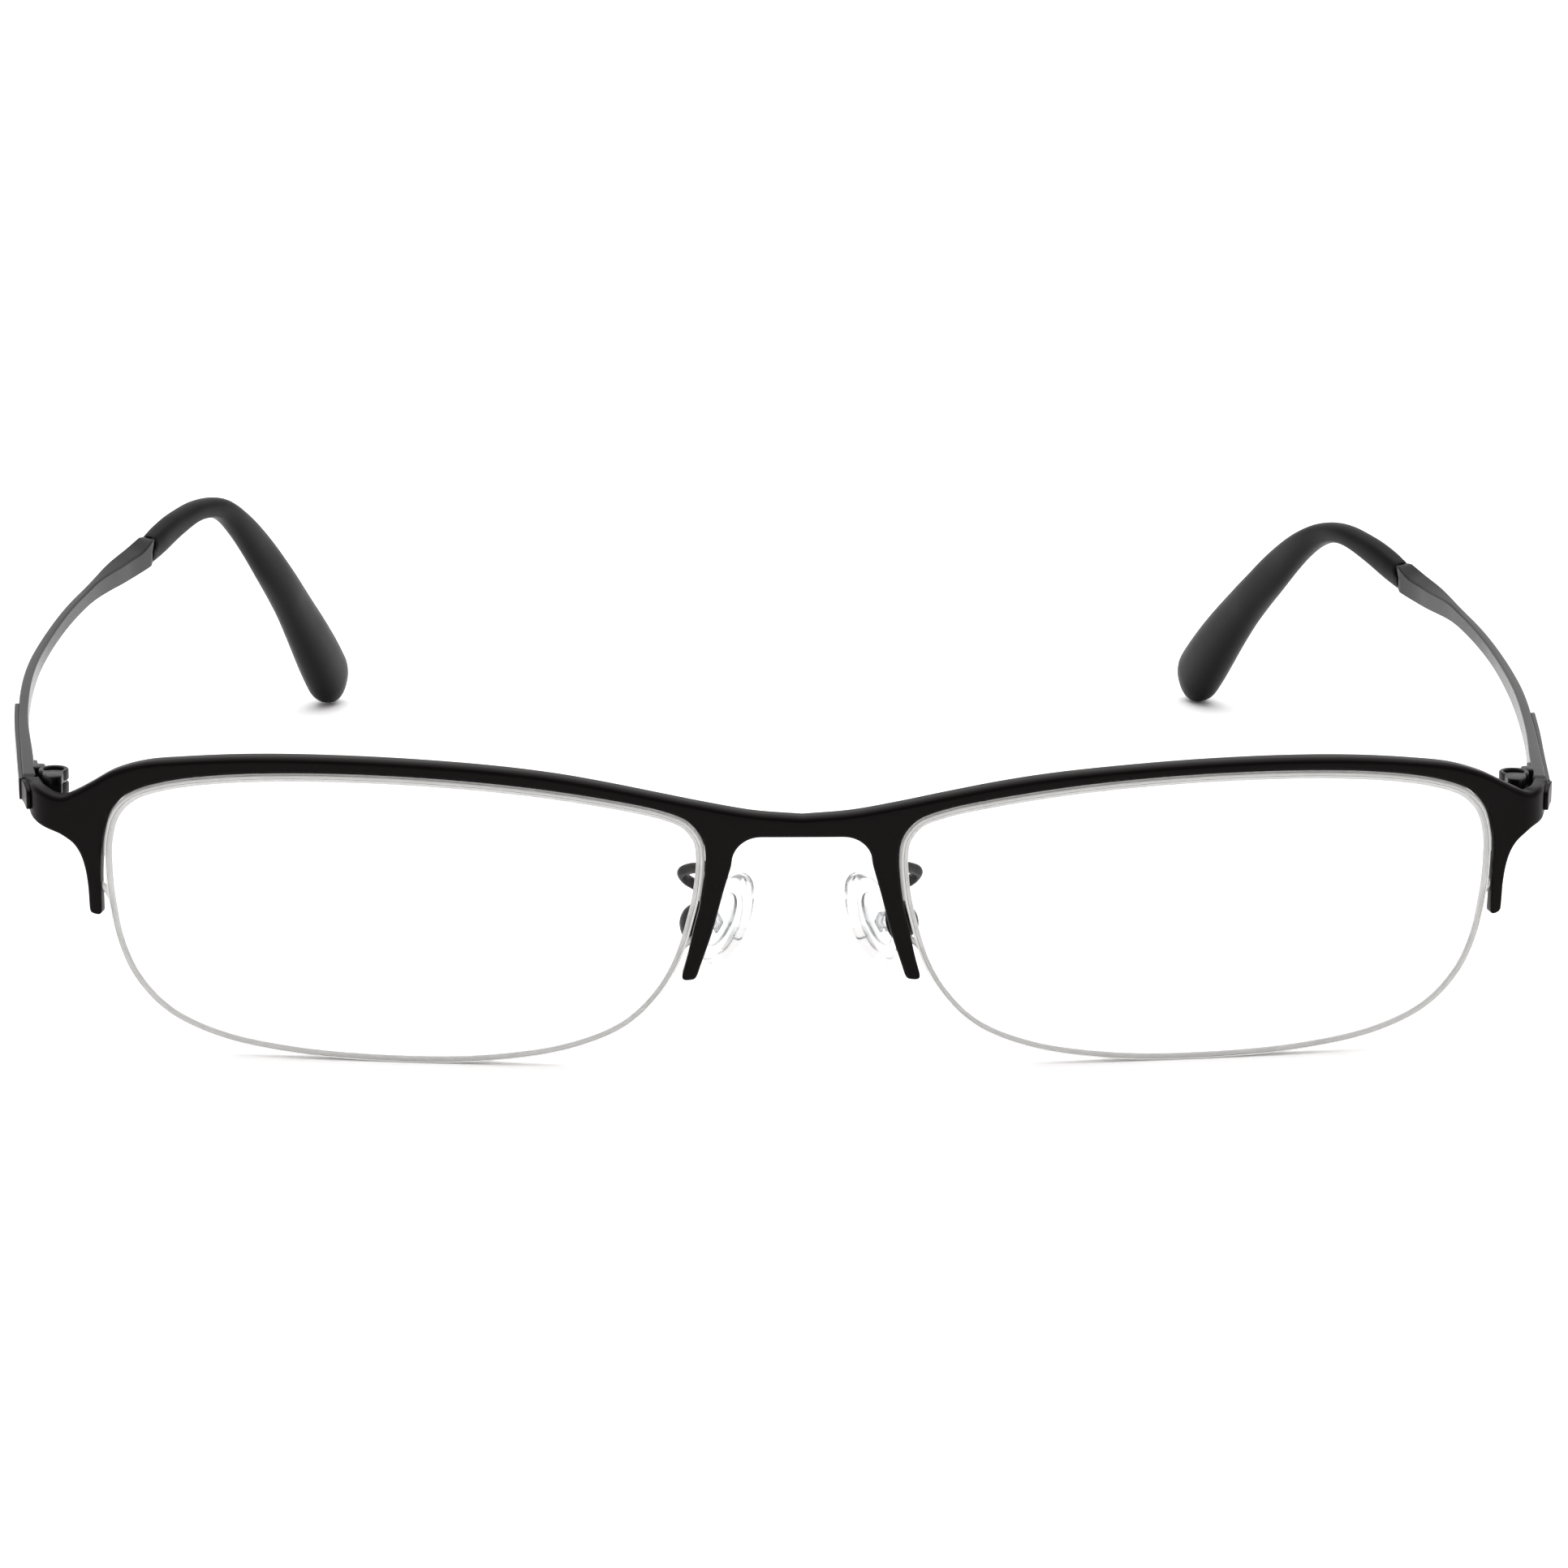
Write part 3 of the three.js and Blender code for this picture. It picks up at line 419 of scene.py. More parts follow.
def bridge_rings(rings, close_ends=True, loop_back=False):
    """Quads between rings that have the same number of points, with the ends closed by fans."""
    size = len(rings[0])
    vertices = [point for ring in rings for point in ring]
    faces = []
    count = len(rings)
    for i in range(count if loop_back else count - 1):
        a, b = i * size, ((i + 1) % count) * size
        for k in range(size):
            n = (k + 1) % size
            faces.append((a + k, a + n, b + n, b + k))
    if close_ends and not loop_back:
        for start, ring in ((0, rings[0]), ((count - 1) * size, rings[-1])):
            vertices.append(Vector(np.mean(np.array([tuple(p) for p in ring]), axis=0)))
            centre = len(vertices) - 1
            for k in range(size):
                faces.append((start + k, start + (k + 1) % size, centre))
    return vertices, faces, []


def lathe(profile, segments=48, closed=False):
    """A turned part on the Z axis, from (radius, height) points."""
    rings = []
    for radius, height in profile:
        radius = max(radius, 1e-4)
        angles = [2 * math.pi * k / segments for k in range(segments)]
        rings.append([Vector((radius * math.cos(a), radius * math.sin(a), height)) for a in angles])
    return bridge_rings(rings, close_ends=not closed, loop_back=closed)


def rounded_profile(points, radius, steps=3, closed=False):
    """Rounds the corners of a (radius, height) profile."""
    count = len(points)
    out = []
    for i, point in enumerate(points):
        p = Vector(point)
        if not closed and i in (0, count - 1):
            out.append(p)
            continue
        before, after = Vector(points[i - 1]) - p, Vector(points[(i + 1) % count]) - p
        cut = min(radius, before.length * 0.45, after.length * 0.45)
        a, b = p + before.normalized() * cut, p + after.normalized() * cut
        for k in range(steps + 1):
            t = k / steps
            out.append(a * (1 - t) ** 2 + p * 2 * t * (1 - t) + b * t**2)
    return [tuple(p) for p in out]


def rounded_slab(outline, low, high, radius, steps=3):
    """An upright prism on a plan outline, with its upper and lower edges rounded."""
    points = [Vector(p) for p in outline]
    count = len(points)
    inward = []
    for i, p in enumerate(points):
        before = (p - points[i - 1]).normalized()
        after = (points[(i + 1) % count] - p).normalized()
        normal = Vector((-(before.y + after.y), before.x + after.x))
        normal.normalize()
        inward.append(normal / max(0.4, math.cos(before.angle(after) / 2)))
    area = sum(a.cross(b) for a, b in zip(points, points[1:] + points[:1]))
    turn = 1 if area > 0 else -1
    rings = []
    quarter = [math.pi / 2 * k / steps for k in range(steps + 1)]
    levels = [(radius * (1 - math.sin(a)), low + radius * (1 - math.cos(a))) for a in quarter]
    levels += [(radius * (1 - math.sin(a)), high - radius * (1 - math.cos(a)))
               for a in reversed(quarter)]
    for inset, height in levels:
        rings.append([
            Vector((*(p + n * inset * turn), height)) for p, n in zip(points, inward)
        ])
    return bridge_rings(rings)


def round_corners(outline, radius, steps=4):
    return rounded_profile(outline, radius, steps, closed=True)


def tube(line, radius, sides=20, end_steps=5):
    """A round wire along a line of points, with rounded ends."""
    path = Path(np.array([tuple(p) for p in line], float))
    stations = max(8, round(path.length / 0.25))
    rings = []
    lift = Vector((0, 0, 1))
    cap = radius / path.length
    reach = []
    for k in range(end_steps + 1):
        angle = math.pi / 2 * k / end_steps
        reach.append((cap * (1 - math.cos(angle)), math.sin(angle)))
    middle = [(lerp(cap, 1 - cap, k / stations), 1.0) for k in range(1, stations)]
    for fraction, size in reach + middle + [(1 - f, s) for f, s in reversed(reach)]:
        centre = Vector(path.at(fraction))
        forward = Vector(path.along(fraction))
        across = forward.cross(lift)
        if across.length < 0.1:
            across = forward.cross(Vector((0, 1, 0)))
        across.normalize()
        lift = across.cross(forward).normalized()
        wide = max(size, 0.02) * radius
        angles = [2 * math.pi * k / sides for k in range(sides)]
        rings.append([
            centre + across * (wide * math.cos(a)) + lift * (wide * math.sin(a)) for a in angles
        ])
    return bridge_rings(rings)


# ------------------------------------------------------------------ front frame

BAR_TOP = [
    (0, 24.2), (4.4, 24.55), (8.7, 25.3), (12.7, 26.1), (17.5, 27.05), (22, 27.8), (27.5, 28.4),
    (35.5, 28.85), (43.5, 28.95), (50, 28.7), (55.5, 28.15), (59, 27.4), (61.8, 26.25),
    (63.9, 25.05), (65.3, 24.5), (66.5, 24.3),
]
ENDPIECE_UNDERSIDE = [
    (66.7, 21.2), (66.0, 20.8), (65.2, 20.15), (64.6, 19.2), (64.2, 17.9), (63.97, 16.2),
    (63.9, 14.2),
]
EAR_LEG_INSIDE = [(63.15, 14.1), (63.15, 14.8), (63.15, 15.5), (63.15, 17.5), (63.05, 19.5)]
NOSE_LEG_LENS_SIDE = [(9.15, 15.9), (9.6, 14.0), (10.25, 11.0), (10.7, 9.3)]
NOSE_LEG_FOOT = [(10.78, 8.72), (9.55, 8.72)]
NOSE_LEG_INSIDE = [(9.3, 9.3), (9.12, 9.9), (8.0, 13.45), (7.1, 17.0), (6.35, 19.7)]
BRIDGE_CORNER = dict(u=3.7, v=20.0, radius_u=2.6, radius_v=2.5)
FOOT_RADIUS = 0.32
BUTT_RADIUS = 0.14
OUTLINE_SPACING = 0.15
EAR_LEG_TOP = 18.0
LEG_THINNING = 0.75
EDGE_STEPS = 6
FACE_CUT_SPACING = 1.5

# The front edge is rounder above this line, which follows the bar a little below its top.
TOP_EDGE_LINE = [(0, 23.6), (8.7, 24.6), (22, 27.3), (43, 28.4), (59, 26.8), (64, 24.2), (67, 23.6)]
TOP_EDGE_RADIUS = 0.58
SIDE_EDGE_RADIUS = 0.34
REAR_EDGE_RADIUS = 0.26

ENDPIECE_PLATE_LENGTH = 2.5
ENDPIECE_PLATE_HEIGHT = 2.0
ENDPIECE_PLATE_RISE = 0.36
ENDPIECE_PLATE_SINK = 0.12
ENDPIECE_PLATE_CORNER = 0.7


def rounded_corner(before, corner, after, radius, steps=6):
    """The curve that replaces a sharp corner of an outline."""
    corner, before, after = Vector(corner), Vector(before), Vector(after)
    a = corner + (before - corner).normalized() * radius
    b = corner + (after - corner).normalized() * radius
    curve = [a.lerp(corner, k / steps).lerp(corner.lerp(b, k / steps), k / steps)
             for k in range(steps + 1)]
    return [tuple(point) for point in curve]


def endpiece_reach(side):
    """The distance across, in the flat drawing, where the endpiece meets JOINT_Y."""
    across = side["bend_start"]
    while bend_front(side["sign"] * across, side["end_height"], 0)[1] < JOINT_Y - JOINT_GAP:
        across += 0.02
    return across


def half_outline(side):
    """Half the front's outline, drawn flat, from the top of the bridge round to its underside."""
    reach = endpiece_reach(side)
    top = side["end_height"] + ENDPIECE_HEIGHT / 2
    bottom = side["end_height"] - ENDPIECE_HEIGHT / 2
    corner = BRIDGE_CORNER
    arc = [
        (corner["u"] + corner["radius_u"] * math.cos(a),
         corner["v"] + corner["radius_v"] * math.sin(a))
        for a in np.linspace(0, math.pi / 2, 16)
    ]
    lifts_at, lifts = zip(*side["bar_lift"])
    bar = [(u, v + np.interp(u, lifts_at, lifts)) for u, v in BAR_TOP]
    upper = bar + [(side["bend_start"] + 2.0, lerp(bar[-1][1], top, 0.75)), (reach, top)]
    outer = [(u + side["leg_outside"], v) for u, v in ENDPIECE_UNDERSIDE]
    turn_u, turn_v = outer[0]
    lower = [(lerp(reach, turn_u, t), lerp(bottom, turn_v, t)) for t in (0, 1 / 3, 2 / 3)] + outer
    leg_inside = [
        (u - side["leg_inside"], v) if v < EAR_LEG_TOP else (u, v) for u, v in EAR_LEG_INSIDE
    ]
    foot_out = (outer[-1][0] - 0.04, side["foot"][0])
    foot_in = (leg_inside[0][0], side["foot"][1])
    inside = leg_inside + RIM_TOP[1:-1][::-1] + NOSE_LEG_LENS_SIDE
    nose_out, nose_in = NOSE_LEG_FOOT
    stretches = [
        smooth_line(upper)[:-1],
        rounded_corner(upper[-2], (reach, top), (reach, bottom), BUTT_RADIUS),
        rounded_corner((reach, top), (reach, bottom), lower[1], BUTT_RADIUS),
        smooth_line(lower)[1:],
        rounded_corner(outer[-1], foot_out, foot_in, FOOT_RADIUS),
        rounded_corner(foot_out, foot_in, leg_inside[0], FOOT_RADIUS),
        smooth_line(inside),
        rounded_corner(NOSE_LEG_LENS_SIDE[-1], nose_out, nose_in, FOOT_RADIUS),
        rounded_corner(nose_out, nose_in, NOSE_LEG_INSIDE[0], FOOT_RADIUS),
        smooth_line(NOSE_LEG_INSIDE),
        arc,
        [(0.0, corner["v"] + corner["radius_v"])],
    ]
    line = [tuple(point) for stretch in stretches for point in stretch]
    return [(side["sign"] * u, v) for u, v in resample(line, OUTLINE_SPACING)]


def smooth_closed(values, rounds):
    """Evens out values that run round a closed outline."""
    values = np.array(values, float)
    for _ in range(rounds):
        values = 0.5 * values + 0.25 * (np.roll(values, 1, axis=0) + np.roll(values, -1, axis=0))
    return values


def edge_radius(u, v):
    """The radius on the front edge of the frame, larger along the top of the bar."""
    across, heights = zip(*TOP_EDGE_LINE)
    return TOP_EDGE_RADIUS if v > np.interp(abs(u), across, heights) else SIDE_EDGE_RADIUS


def fitting_radius(outline, wanted, turn):
    """Keeps the rounded edge smaller than the corners of the outline itself."""
    window = 2
    least_bend = 0.02
    unlimited = 10.0
    before = outline - np.roll(outline, window, axis=0)
    after = np.roll(outline, -window, axis=0) - outline
    bend = turn * (before[:, 0] * after[:, 1] - before[:, 1] * after[:, 0])
    straight = (before * after).sum(axis=1)
    angle = np.arctan2(bend, straight)
    reach = np.linalg.norm(before, axis=1)
    corner = np.where(
        angle > least_bend, 0.8 * reach / np.maximum(angle, least_bend), unlimited)
    for shift in range(-window, window + 1):
        corner = np.minimum(corner, np.roll(corner, shift))
    limited = np.minimum(wanted, corner)
    slope = 0.5 * OUTLINE_SPACING
    for _ in range(12):
        beside = np.minimum(np.roll(limited, 1), np.roll(limited, -1)) + slope
        limited = np.minimum(limited, beside)
    return np.minimum(smooth_closed(limited, 3), corner)


def front_frame():
    """The whole front: a flat solid with rounded edges, cut into small faces and then bent."""
    left = half_outline(SIDES["left"])
    right = half_outline(SIDES["right"])
    outline = smooth_closed(left[:-1] + right[::-1][:-1], 2)
    count = len(outline)
    area = sum(
        outline[i - 1][0] * outline[i][1] - outline[i][0] * outline[i - 1][1] for i in range(count))
    turn = 1 if area > 0 else -1
    tangent = np.roll(outline, -2, axis=0) - np.roll(outline, 2, axis=0)
    tangent /= np.linalg.norm(tangent, axis=1, keepdims=True)
    inward = np.stack([-tangent[:, 1], tangent[:, 0]], axis=1) * turn
    wanted = smooth_closed([edge_radius(u, v) for u, v in outline], 14)
    front_radius = fitting_radius(outline, wanted, turn)
    rear_radius = np.minimum(front_radius, REAR_EDGE_RADIUS)
    quarter = [math.pi / 2 * k / EDGE_STEPS for k in range(EDGE_STEPS + 1)]
    levels = [
        (front_radius * (1 - math.sin(a)), front_radius * (1 - math.cos(a))) for a in quarter
    ]
    levels += [
        (rear_radius * (1 - math.sin(a)), BAR_DEPTH - rear_radius * (1 - math.cos(a)))
        for a in reversed(quarter)
    ]
    bm = bmesh.new()
    rings = []
    for inset, depth in levels:
        flat = outline + inward * inset[:, None]
        rings.append([bm.verts.new((u, v, w)) for (u, v), w in zip(flat, depth)])
    for first, second in zip(rings, rings[1:]):
        for k in range(count):
            n = (k + 1) % count
            bm.faces.new((first[k], first[n], second[n], second[k]))
    for ring in (rings[0], rings[-1]):
        edges = [bm.edges.get((ring[k], ring[(k + 1) % count])) for k in range(count)]
        bmesh.ops.triangle_fill(bm, use_beauty=True, use_dissolve=False, edges=edges)
    for u in np.arange(-70.5, 71, FACE_CUT_SPACING):
        whole = bm.verts[:] + bm.edges[:] + bm.faces[:]
        bmesh.ops.bisect_plane(bm, geom=whole, plane_co=(u, 0, 0), plane_no=(1, 0, 0), dist=1e-4)
    for v in np.arange(10, 29, FACE_CUT_SPACING):
        whole = bm.verts[:] + bm.edges[:] + bm.faces[:]
        bmesh.ops.bisect_plane(bm, geom=whole, plane_co=(0, v, 0), plane_no=(0, 1, 0), dist=1e-4)
    bmesh.ops.triangulate(bm, faces=[face for face in bm.faces if len(face.verts) > 4])
    for vertex in bm.verts:
        u, v, w = vertex.co
        thin_end = lerp(1, ENDPIECE_DEPTH / BAR_DEPTH, smoothstep(abs(u), 65, 68.5))
        down_ear_leg = smoothstep(-v, -21, -16) if abs(u) > 61 else 0
        thin_leg = lerp(1, LEG_THINNING, down_ear_leg)
        vertex.co = bend_front(u, v, w * thin_end * thin_leg)
    bm.verts.index_update()
    vertices = [tuple(vertex.co) for vertex in bm.verts]
    faces = [tuple(vertex.index for vertex in face.verts) for face in bm.faces]
    bm.free()
    return vertices, faces, []


def endpiece_plate(side):
    """The raised plate on the outside of the endpiece, which the temple's plate carries on."""
    reach = endpiece_reach(side)
    start = reach - ENDPIECE_PLATE_LENGTH
    half_depth = (ENDPIECE_PLATE_RISE + ENDPIECE_PLATE_SINK) / 2
    middle_depth = (ENDPIECE_PLATE_SINK - ENDPIECE_PLATE_RISE) / 2
    rings = []
    stations = 40
    for i in range(stations + 1):
        t = i / stations
        from_start = ENDPIECE_PLATE_LENGTH * t
        before_full = max(0.0, 1 - from_start / ENDPIECE_PLATE_CORNER)
        rounding = math.sqrt(max(0.0, 1 - before_full**2))
        shrink = 0.12 * max(0.0, 1 - from_start / 0.15)
        half_height = ENDPIECE_PLATE_HEIGHT / 2 * lerp(0.55, 1, rounding)
        across = side["sign"] * lerp(start, reach, t)
        middle = lerp(turned_middle(side, start), side["end_height"], smoothstep(t, 0, 0.7))
        rings.append([
            Vector(bend_front(across, middle + v, w + middle_depth))
            for w, v in soft_box(half_depth - shrink, half_height - shrink, 0.1)
        ])
    return bridge_rings(rings)


def turned_middle(side, across):
    """The middle height of the endpiece at a distance across."""
    reach = endpiece_reach(side)
    turn_u, turn_v = ENDPIECE_UNDERSIDE[0]
    low = lerp(turn_v, side["end_height"] - ENDPIECE_HEIGHT / 2,
               clamp01((across - turn_u) / (reach - turn_u)))
    high = side["end_height"] + ENDPIECE_HEIGHT / 2
    return (low + high) / 2


def soft_box(half_x, half_y, radius, steps=4):
    """A rectangle with round corners, as (x, y) points."""
    radius = min(radius, half_x * 0.95, half_y * 0.95)
    points = []
    for quarter, (sx, sy) in enumerate(((1, 1), (-1, 1), (-1, -1), (1, -1))):
        for k in range(steps + 1):
            a = math.pi / 2 * (quarter + k / steps)
            points.append((
                sx * (half_x - radius) + radius * math.cos(a),
                sy * (half_y - radius) + radius * math.sin(a),
            ))
    return points


make_piece(
    "front_frame_shell",
    merge(front_frame(), *(endpiece_plate(side) for side in SIDES.values())),
    [black_paint], "front", "black_metal", ["front_frame"], smooth_angle=50)

# ------------------------------------------------------------------ lenses, liners, cords

LENS_STATIONS = 300
LENS_CENTRE = (36.0, 14.5)
LENS_FACE_SCALES = [0.985, 0.95, 0.9, 0.82, 0.72, 0.6, 0.46, 0.32, 0.18, 0.06]
GROOVE_HALF_WIDTH = 0.34
GROOVE_FLOOR = 0.62
CHAMFER = 0.2
# Width of the band of painted shade inside each chamfer of the lens.
CHAMFER_SHADE_BAND = 0.05
LINER_ENDS = (rim_fraction(16.3, True), rim_fraction(19, False))
CORD_ENDS = (rim_fraction(14.8, False), rim_fraction(11.6, True))


def lens(sign):
    """The lens, chamfered and grooved. Ground faces are material 1; a thin band of painted shade
    beside them, darker glass standing in for the grey line at the chamfer's edge, is 2.
    """
    front, back = CORD_DEPTH - LENS_THICKNESS / 2, CORD_DEPTH + LENS_THICKNESS / 2
    edge = [
        (CHAMFER, front), (CHAMFER / 2, front + CHAMFER / 2), (0, front + CHAMFER),
        (0, CORD_DEPTH - GROOVE_HALF_WIDTH),
        (GROOVE_FLOOR * 0.7, CORD_DEPTH - GROOVE_HALF_WIDTH * 0.75),
        (GROOVE_FLOOR, CORD_DEPTH),
        (GROOVE_FLOOR * 0.7, CORD_DEPTH + GROOVE_HALF_WIDTH * 0.75),
        (0, CORD_DEPTH + GROOVE_HALF_WIDTH),
        (0, back - CHAMFER), (CHAMFER / 2, back - CHAMFER / 2), (CHAMFER, back),
    ]

    def ring(inset, depth, scale=1.0):
        points = []
        for i in range(LENS_STATIONS):
            fraction = i / LENS_STATIONS
            u, v = rim_point(fraction, lens_inset(fraction) + inset)
            u, v = lerp(LENS_CENTRE[0], u, scale), lerp(LENS_CENTRE[1], v, scale)
            points.append(Vector(bend_front(sign * u, v, depth)))
        return points

    shade_band_inset = CHAMFER + CHAMFER_SHADE_BAND
    rings = [ring(shade_band_inset, front, scale) for scale in reversed(LENS_FACE_SCALES)]
    rings.append(ring(shade_band_inset, front))
    face_rings = len(rings)
    rings += [ring(inset, depth) for inset, depth in edge]
    rings.append(ring(shade_band_inset, back))
    rings += [ring(shade_band_inset, back, scale) for scale in LENS_FACE_SCALES]
    vertices, faces, _ = bridge_rings(rings)
    ground = range(face_rings, face_rings + len(edge) - 1)
    # The bands of painted shade, just inside the front chamfer and the back chamfer.
    shade_bands = (face_rings - 1, face_rings + len(edge) - 1)
    bands = [i // LENS_STATIONS for i in range(len(faces))]
    kinds = [1 if band in ground else 2 if band in shade_bands else 0 for band in bands]
    return vertices, faces, kinds


def swept_strip(sign, start, end, stations, section):
    """A strip along the rim. section lists (inset, depth) points; the ends are closed."""
    rings = []
    for i in range(stations + 1):
        fraction = lerp(start, end, i / stations)
        ring = []
        for inset, depth in section:
            u, v = rim_point(fraction, inset)
            ring.append(Vector(bend_front(sign * u, v, depth)))
        rings.append(ring)
    return bridge_rings(rings)


def rim_liner(sign):
    """The clear strip between the bar and the top of the lens."""
    inner, outer, half = 0.05, 0.5, 0.3
    section = round_corners([
        (inner, CORD_DEPTH - half), (outer, CORD_DEPTH - half),
        (outer, CORD_DEPTH + half), (inner, CORD_DEPTH + half),
    ], 0.12)
    start = LINER_ENDS[0] - round(LINER_ENDS[0])
    return swept_strip(sign, start, LINER_ENDS[1], 160, section)


def nylon_cord(sign):
    """The cord under the lens, with both ends in the legs."""
    first, last = CORD_ENDS
    last += 1 if last < first else 0
    steps = 90
    middle = [rim_point(lerp(first, last, i / steps), CORD_INSET) for i in range(steps + 1)]
    flat = [(63.6, 16.4), (63.25, 16.2)] + middle + [(9.75, 12.6), (9.3, 12.9)]
    line = [bend_front(sign * u, v, CORD_DEPTH) for u, v in flat]
    return tube(smooth_line(line, per_span=3), CORD_RADIUS, sides=16)


# ------------------------------------------------------------------ temples


def temple_path(side):
    """The middle line of a temple, from the endpiece to the end of its tip."""
    front = side["metal"][0][1]
    strip = [
        (x, y, lerp(side["end_height"], side["seam_height"], (y - front) / (SEAM_Y - front)))
        for x, y in side["metal"]
    ]
    points = [(side["sign"] * x, y, z) for x, y, z in strip + side["tip"]]
    return Path(smooth_line(points))


def seam_fraction(path):
    """The fraction of the path where the metal ends and the tip begins."""
    fraction = 0.0
    while path.at(fraction)[1] < SEAM_Y:
        fraction += 0.0005
    return fraction


def temple_axes(side, path, fraction):
    """The middle of the temple at a fraction, with its outward, upward and forward directions."""
    centre = Vector(path.at(fraction))
    forward = Vector(path.along(fraction))
    outward = forward.cross(Vector((0, 0, 1))).normalized()
    outward *= math.copysign(1, outward.x) * side["sign"]
    lift = outward.cross(forward).normalized()
    lift *= math.copysign(1, lift.z)
    return centre, outward, lift, forward


def oval(half_x, half_y, power=2.3, sides=36):
    """An ellipse that a power above 2 makes squarer, as (x, y) points."""
    points = []
    for k in range(sides):
        a = 2 * math.pi * k / sides
        c, s = math.cos(a), math.sin(a)
        points.append((
            half_x * math.copysign(abs(c) ** (2 / power), c),
            half_y * math.copysign(abs(s) ** (2 / power), s),
        ))
    return points


def eased(pairs, at):
    """Reads a value from (fraction, value) pairs, with smooth steps between them."""
    for (a, first), (b, second) in zip(pairs, pairs[1:]):
        if at <= b:
            return lerp(first, second, smoothstep(at, a, b))
    return pairs[-1][1]


# Sizes along the strip and along the tip, as (fraction, size).
STRIP_THICKNESS = [(0, 1.2), (0.27, 0.95), (0.8, 0.85), (0.92, 1.3), (1, 1.7)]
STRIP_HEIGHT = [(0, 2.4), (0.3, 2.0), (0.6, 1.5), (0.76, 1.55), (0.95, 2.75), (1, 2.85)]
TIP_THICKNESS = [(0, 2.0), (0.06, 2.25), (0.45, 2.6), (0.65, 3.4), (0.92, 4.4), (1, 4.3)]
TIP_HEIGHT = [(0, 2.9), (0.06, 3.0), (0.24, 2.15), (0.56, 4.3), (0.92, 6.2), (1, 6.2)]
TIP_ROUND_START = 0.93
TIP_END = 0.9965
SEAM_STEP = 0.9
SEAM_STEP_FADE = 3.0
SEAM_GAP = 0.14
PADDLE_SLOPE = 0.7
STRIP_END_EASE = 0.14
STRIP_END_SHRINK = 0.12
PLATE_START = 0.12
PLATE_LENGTH = 25.0
PLATE_HEIGHT = 2.0
PLATE_THICKNESS = 0.4
PLATE_SINK = 0.04
PLATE_CORNER = 0.55


def seam_step(y, from_seam):
    """How far the seam's line is pushed back along the temple at a height on the section."""
    return SEAM_STEP * smoothstep(y, 0.1, 0.4) * max(0.0, 1 - from_seam / SEAM_STEP_FADE)


def paddle_slope(x, y, half_x, amount):
    """Slopes the upper face of the paddle down towards its inner side."""
    return amount * (half_x - x) / (2 * half_x) if y > 0 else 0.0


def temple_strip(side):
    """The metal of the temple, flat at the hinge and flared into a paddle at the seam."""
    path = temple_path(side)
    seam = seam_fraction(path)
    length = seam * path.length
    rings = []
    stations = 170
    for i in range(stations + 1):
        t = i / stations
        centre, outward, lift, forward = temple_axes(side, path, lerp(0.0005, seam, t))
        thick, high = eased(STRIP_THICKNESS, t), eased(STRIP_HEIGHT, t)
        from_end = min(t, 1 - t) * length
        shrink = STRIP_END_SHRINK * max(0.0, 1 - from_end / STRIP_END_EASE)
        half_x = thick / 2 - shrink
        slope = PADDLE_SLOPE * smoothstep(t, 0.8, 0.93) * lerp(1, 0.25, smoothstep(t, 0.965, 1))
        ring = []
        for x, y in soft_box(half_x, high / 2 - shrink, 0.2):
            push = seam_step(y, (1 - t) * length)
            y -= paddle_slope(x, y, half_x, slope)
            ring.append(centre + outward * x + lift * y + forward * push)
        rings.append(ring)
    return bridge_rings(rings)


def temple_core(side):
    """The stub of the metal core that shows in the seam."""
    path = temple_path(side)
    seam = seam_fraction(path)
    rings = []
    for i in range(9):
        reach = lerp(-0.6, 1.2, i / 8) / path.length
        centre, outward, lift, _ = temple_axes(side, path, seam + reach)
        rings.append([centre + outward * x + lift * y for x, y in soft_box(0.6, 1.1, 0.2)])
    return bridge_rings(rings)


def temple_tip(side):
    """The tip, whose end closes as a dome from TIP_ROUND_START on."""
    path = temple_path(side)
    seam = seam_fraction(path) + SEAM_GAP / path.length
    rings = []
    stations = 130
    dome = 14
    round_rings = [
        lerp(TIP_ROUND_START, 1, math.sin(math.pi / 2 * k / dome)) for k in range(1, dome + 1)
    ]
    fractions = [i / stations for i in range(int(stations * TIP_ROUND_START) + 1)] + round_rings
    for t in fractions:
        centre, outward, lift, forward = temple_axes(side, path, lerp(seam, TIP_END, t))
        into_end = max(0.0, (t - TIP_ROUND_START) / (1 - TIP_ROUND_START))
        rounding = max(0.03, math.sqrt(max(0.0, 1 - into_end**2.3)))
        start = 1 - 0.08 * max(0.0, 1 - t / 0.006)
        half_x = eased(TIP_THICKNESS, t) / 2 * rounding * start
        half_y = eased(TIP_HEIGHT, t) / 2 * rounding * start
        from_seam = t * (TIP_END - seam) * path.length
        rings.append([
            centre + outward * x + lift * y + forward * seam_step(y, from_seam)
            for x, y in oval(half_x, half_y)
        ])
    return bridge_rings(rings)


def temple_plate(side):
    """The raised plate on the outside, with rounded rear corners."""
    path = temple_path(side)
    seam = seam_fraction(path)
    rings = []
    stations = 90
    for i in range(stations + 1):
        t = i / stations
        fraction = (PLATE_START + PLATE_LENGTH * t) / path.length
        centre, outward, lift, _ = temple_axes(side, path, fraction)
        strip = eased(STRIP_THICKNESS, fraction / seam) / 2
        from_end = (1 - t) * PLATE_LENGTH
        into_corner = max(0.0, 1 - from_end / PLATE_CORNER)
        rounding = max(0.1, math.sqrt(max(0.0, 1 - into_corner**2)))
        middle = centre + outward * (strip + PLATE_THICKNESS / 2 - PLATE_SINK)
        section = soft_box(PLATE_THICKNESS / 2, PLATE_HEIGHT / 2 * lerp(0.6, 1, rounding), 0.1)
        rings.append([middle + outward * x + lift * y for x, y in section])
    return bridge_rings(rings)


# ------------------------------------------------------------------ hinges

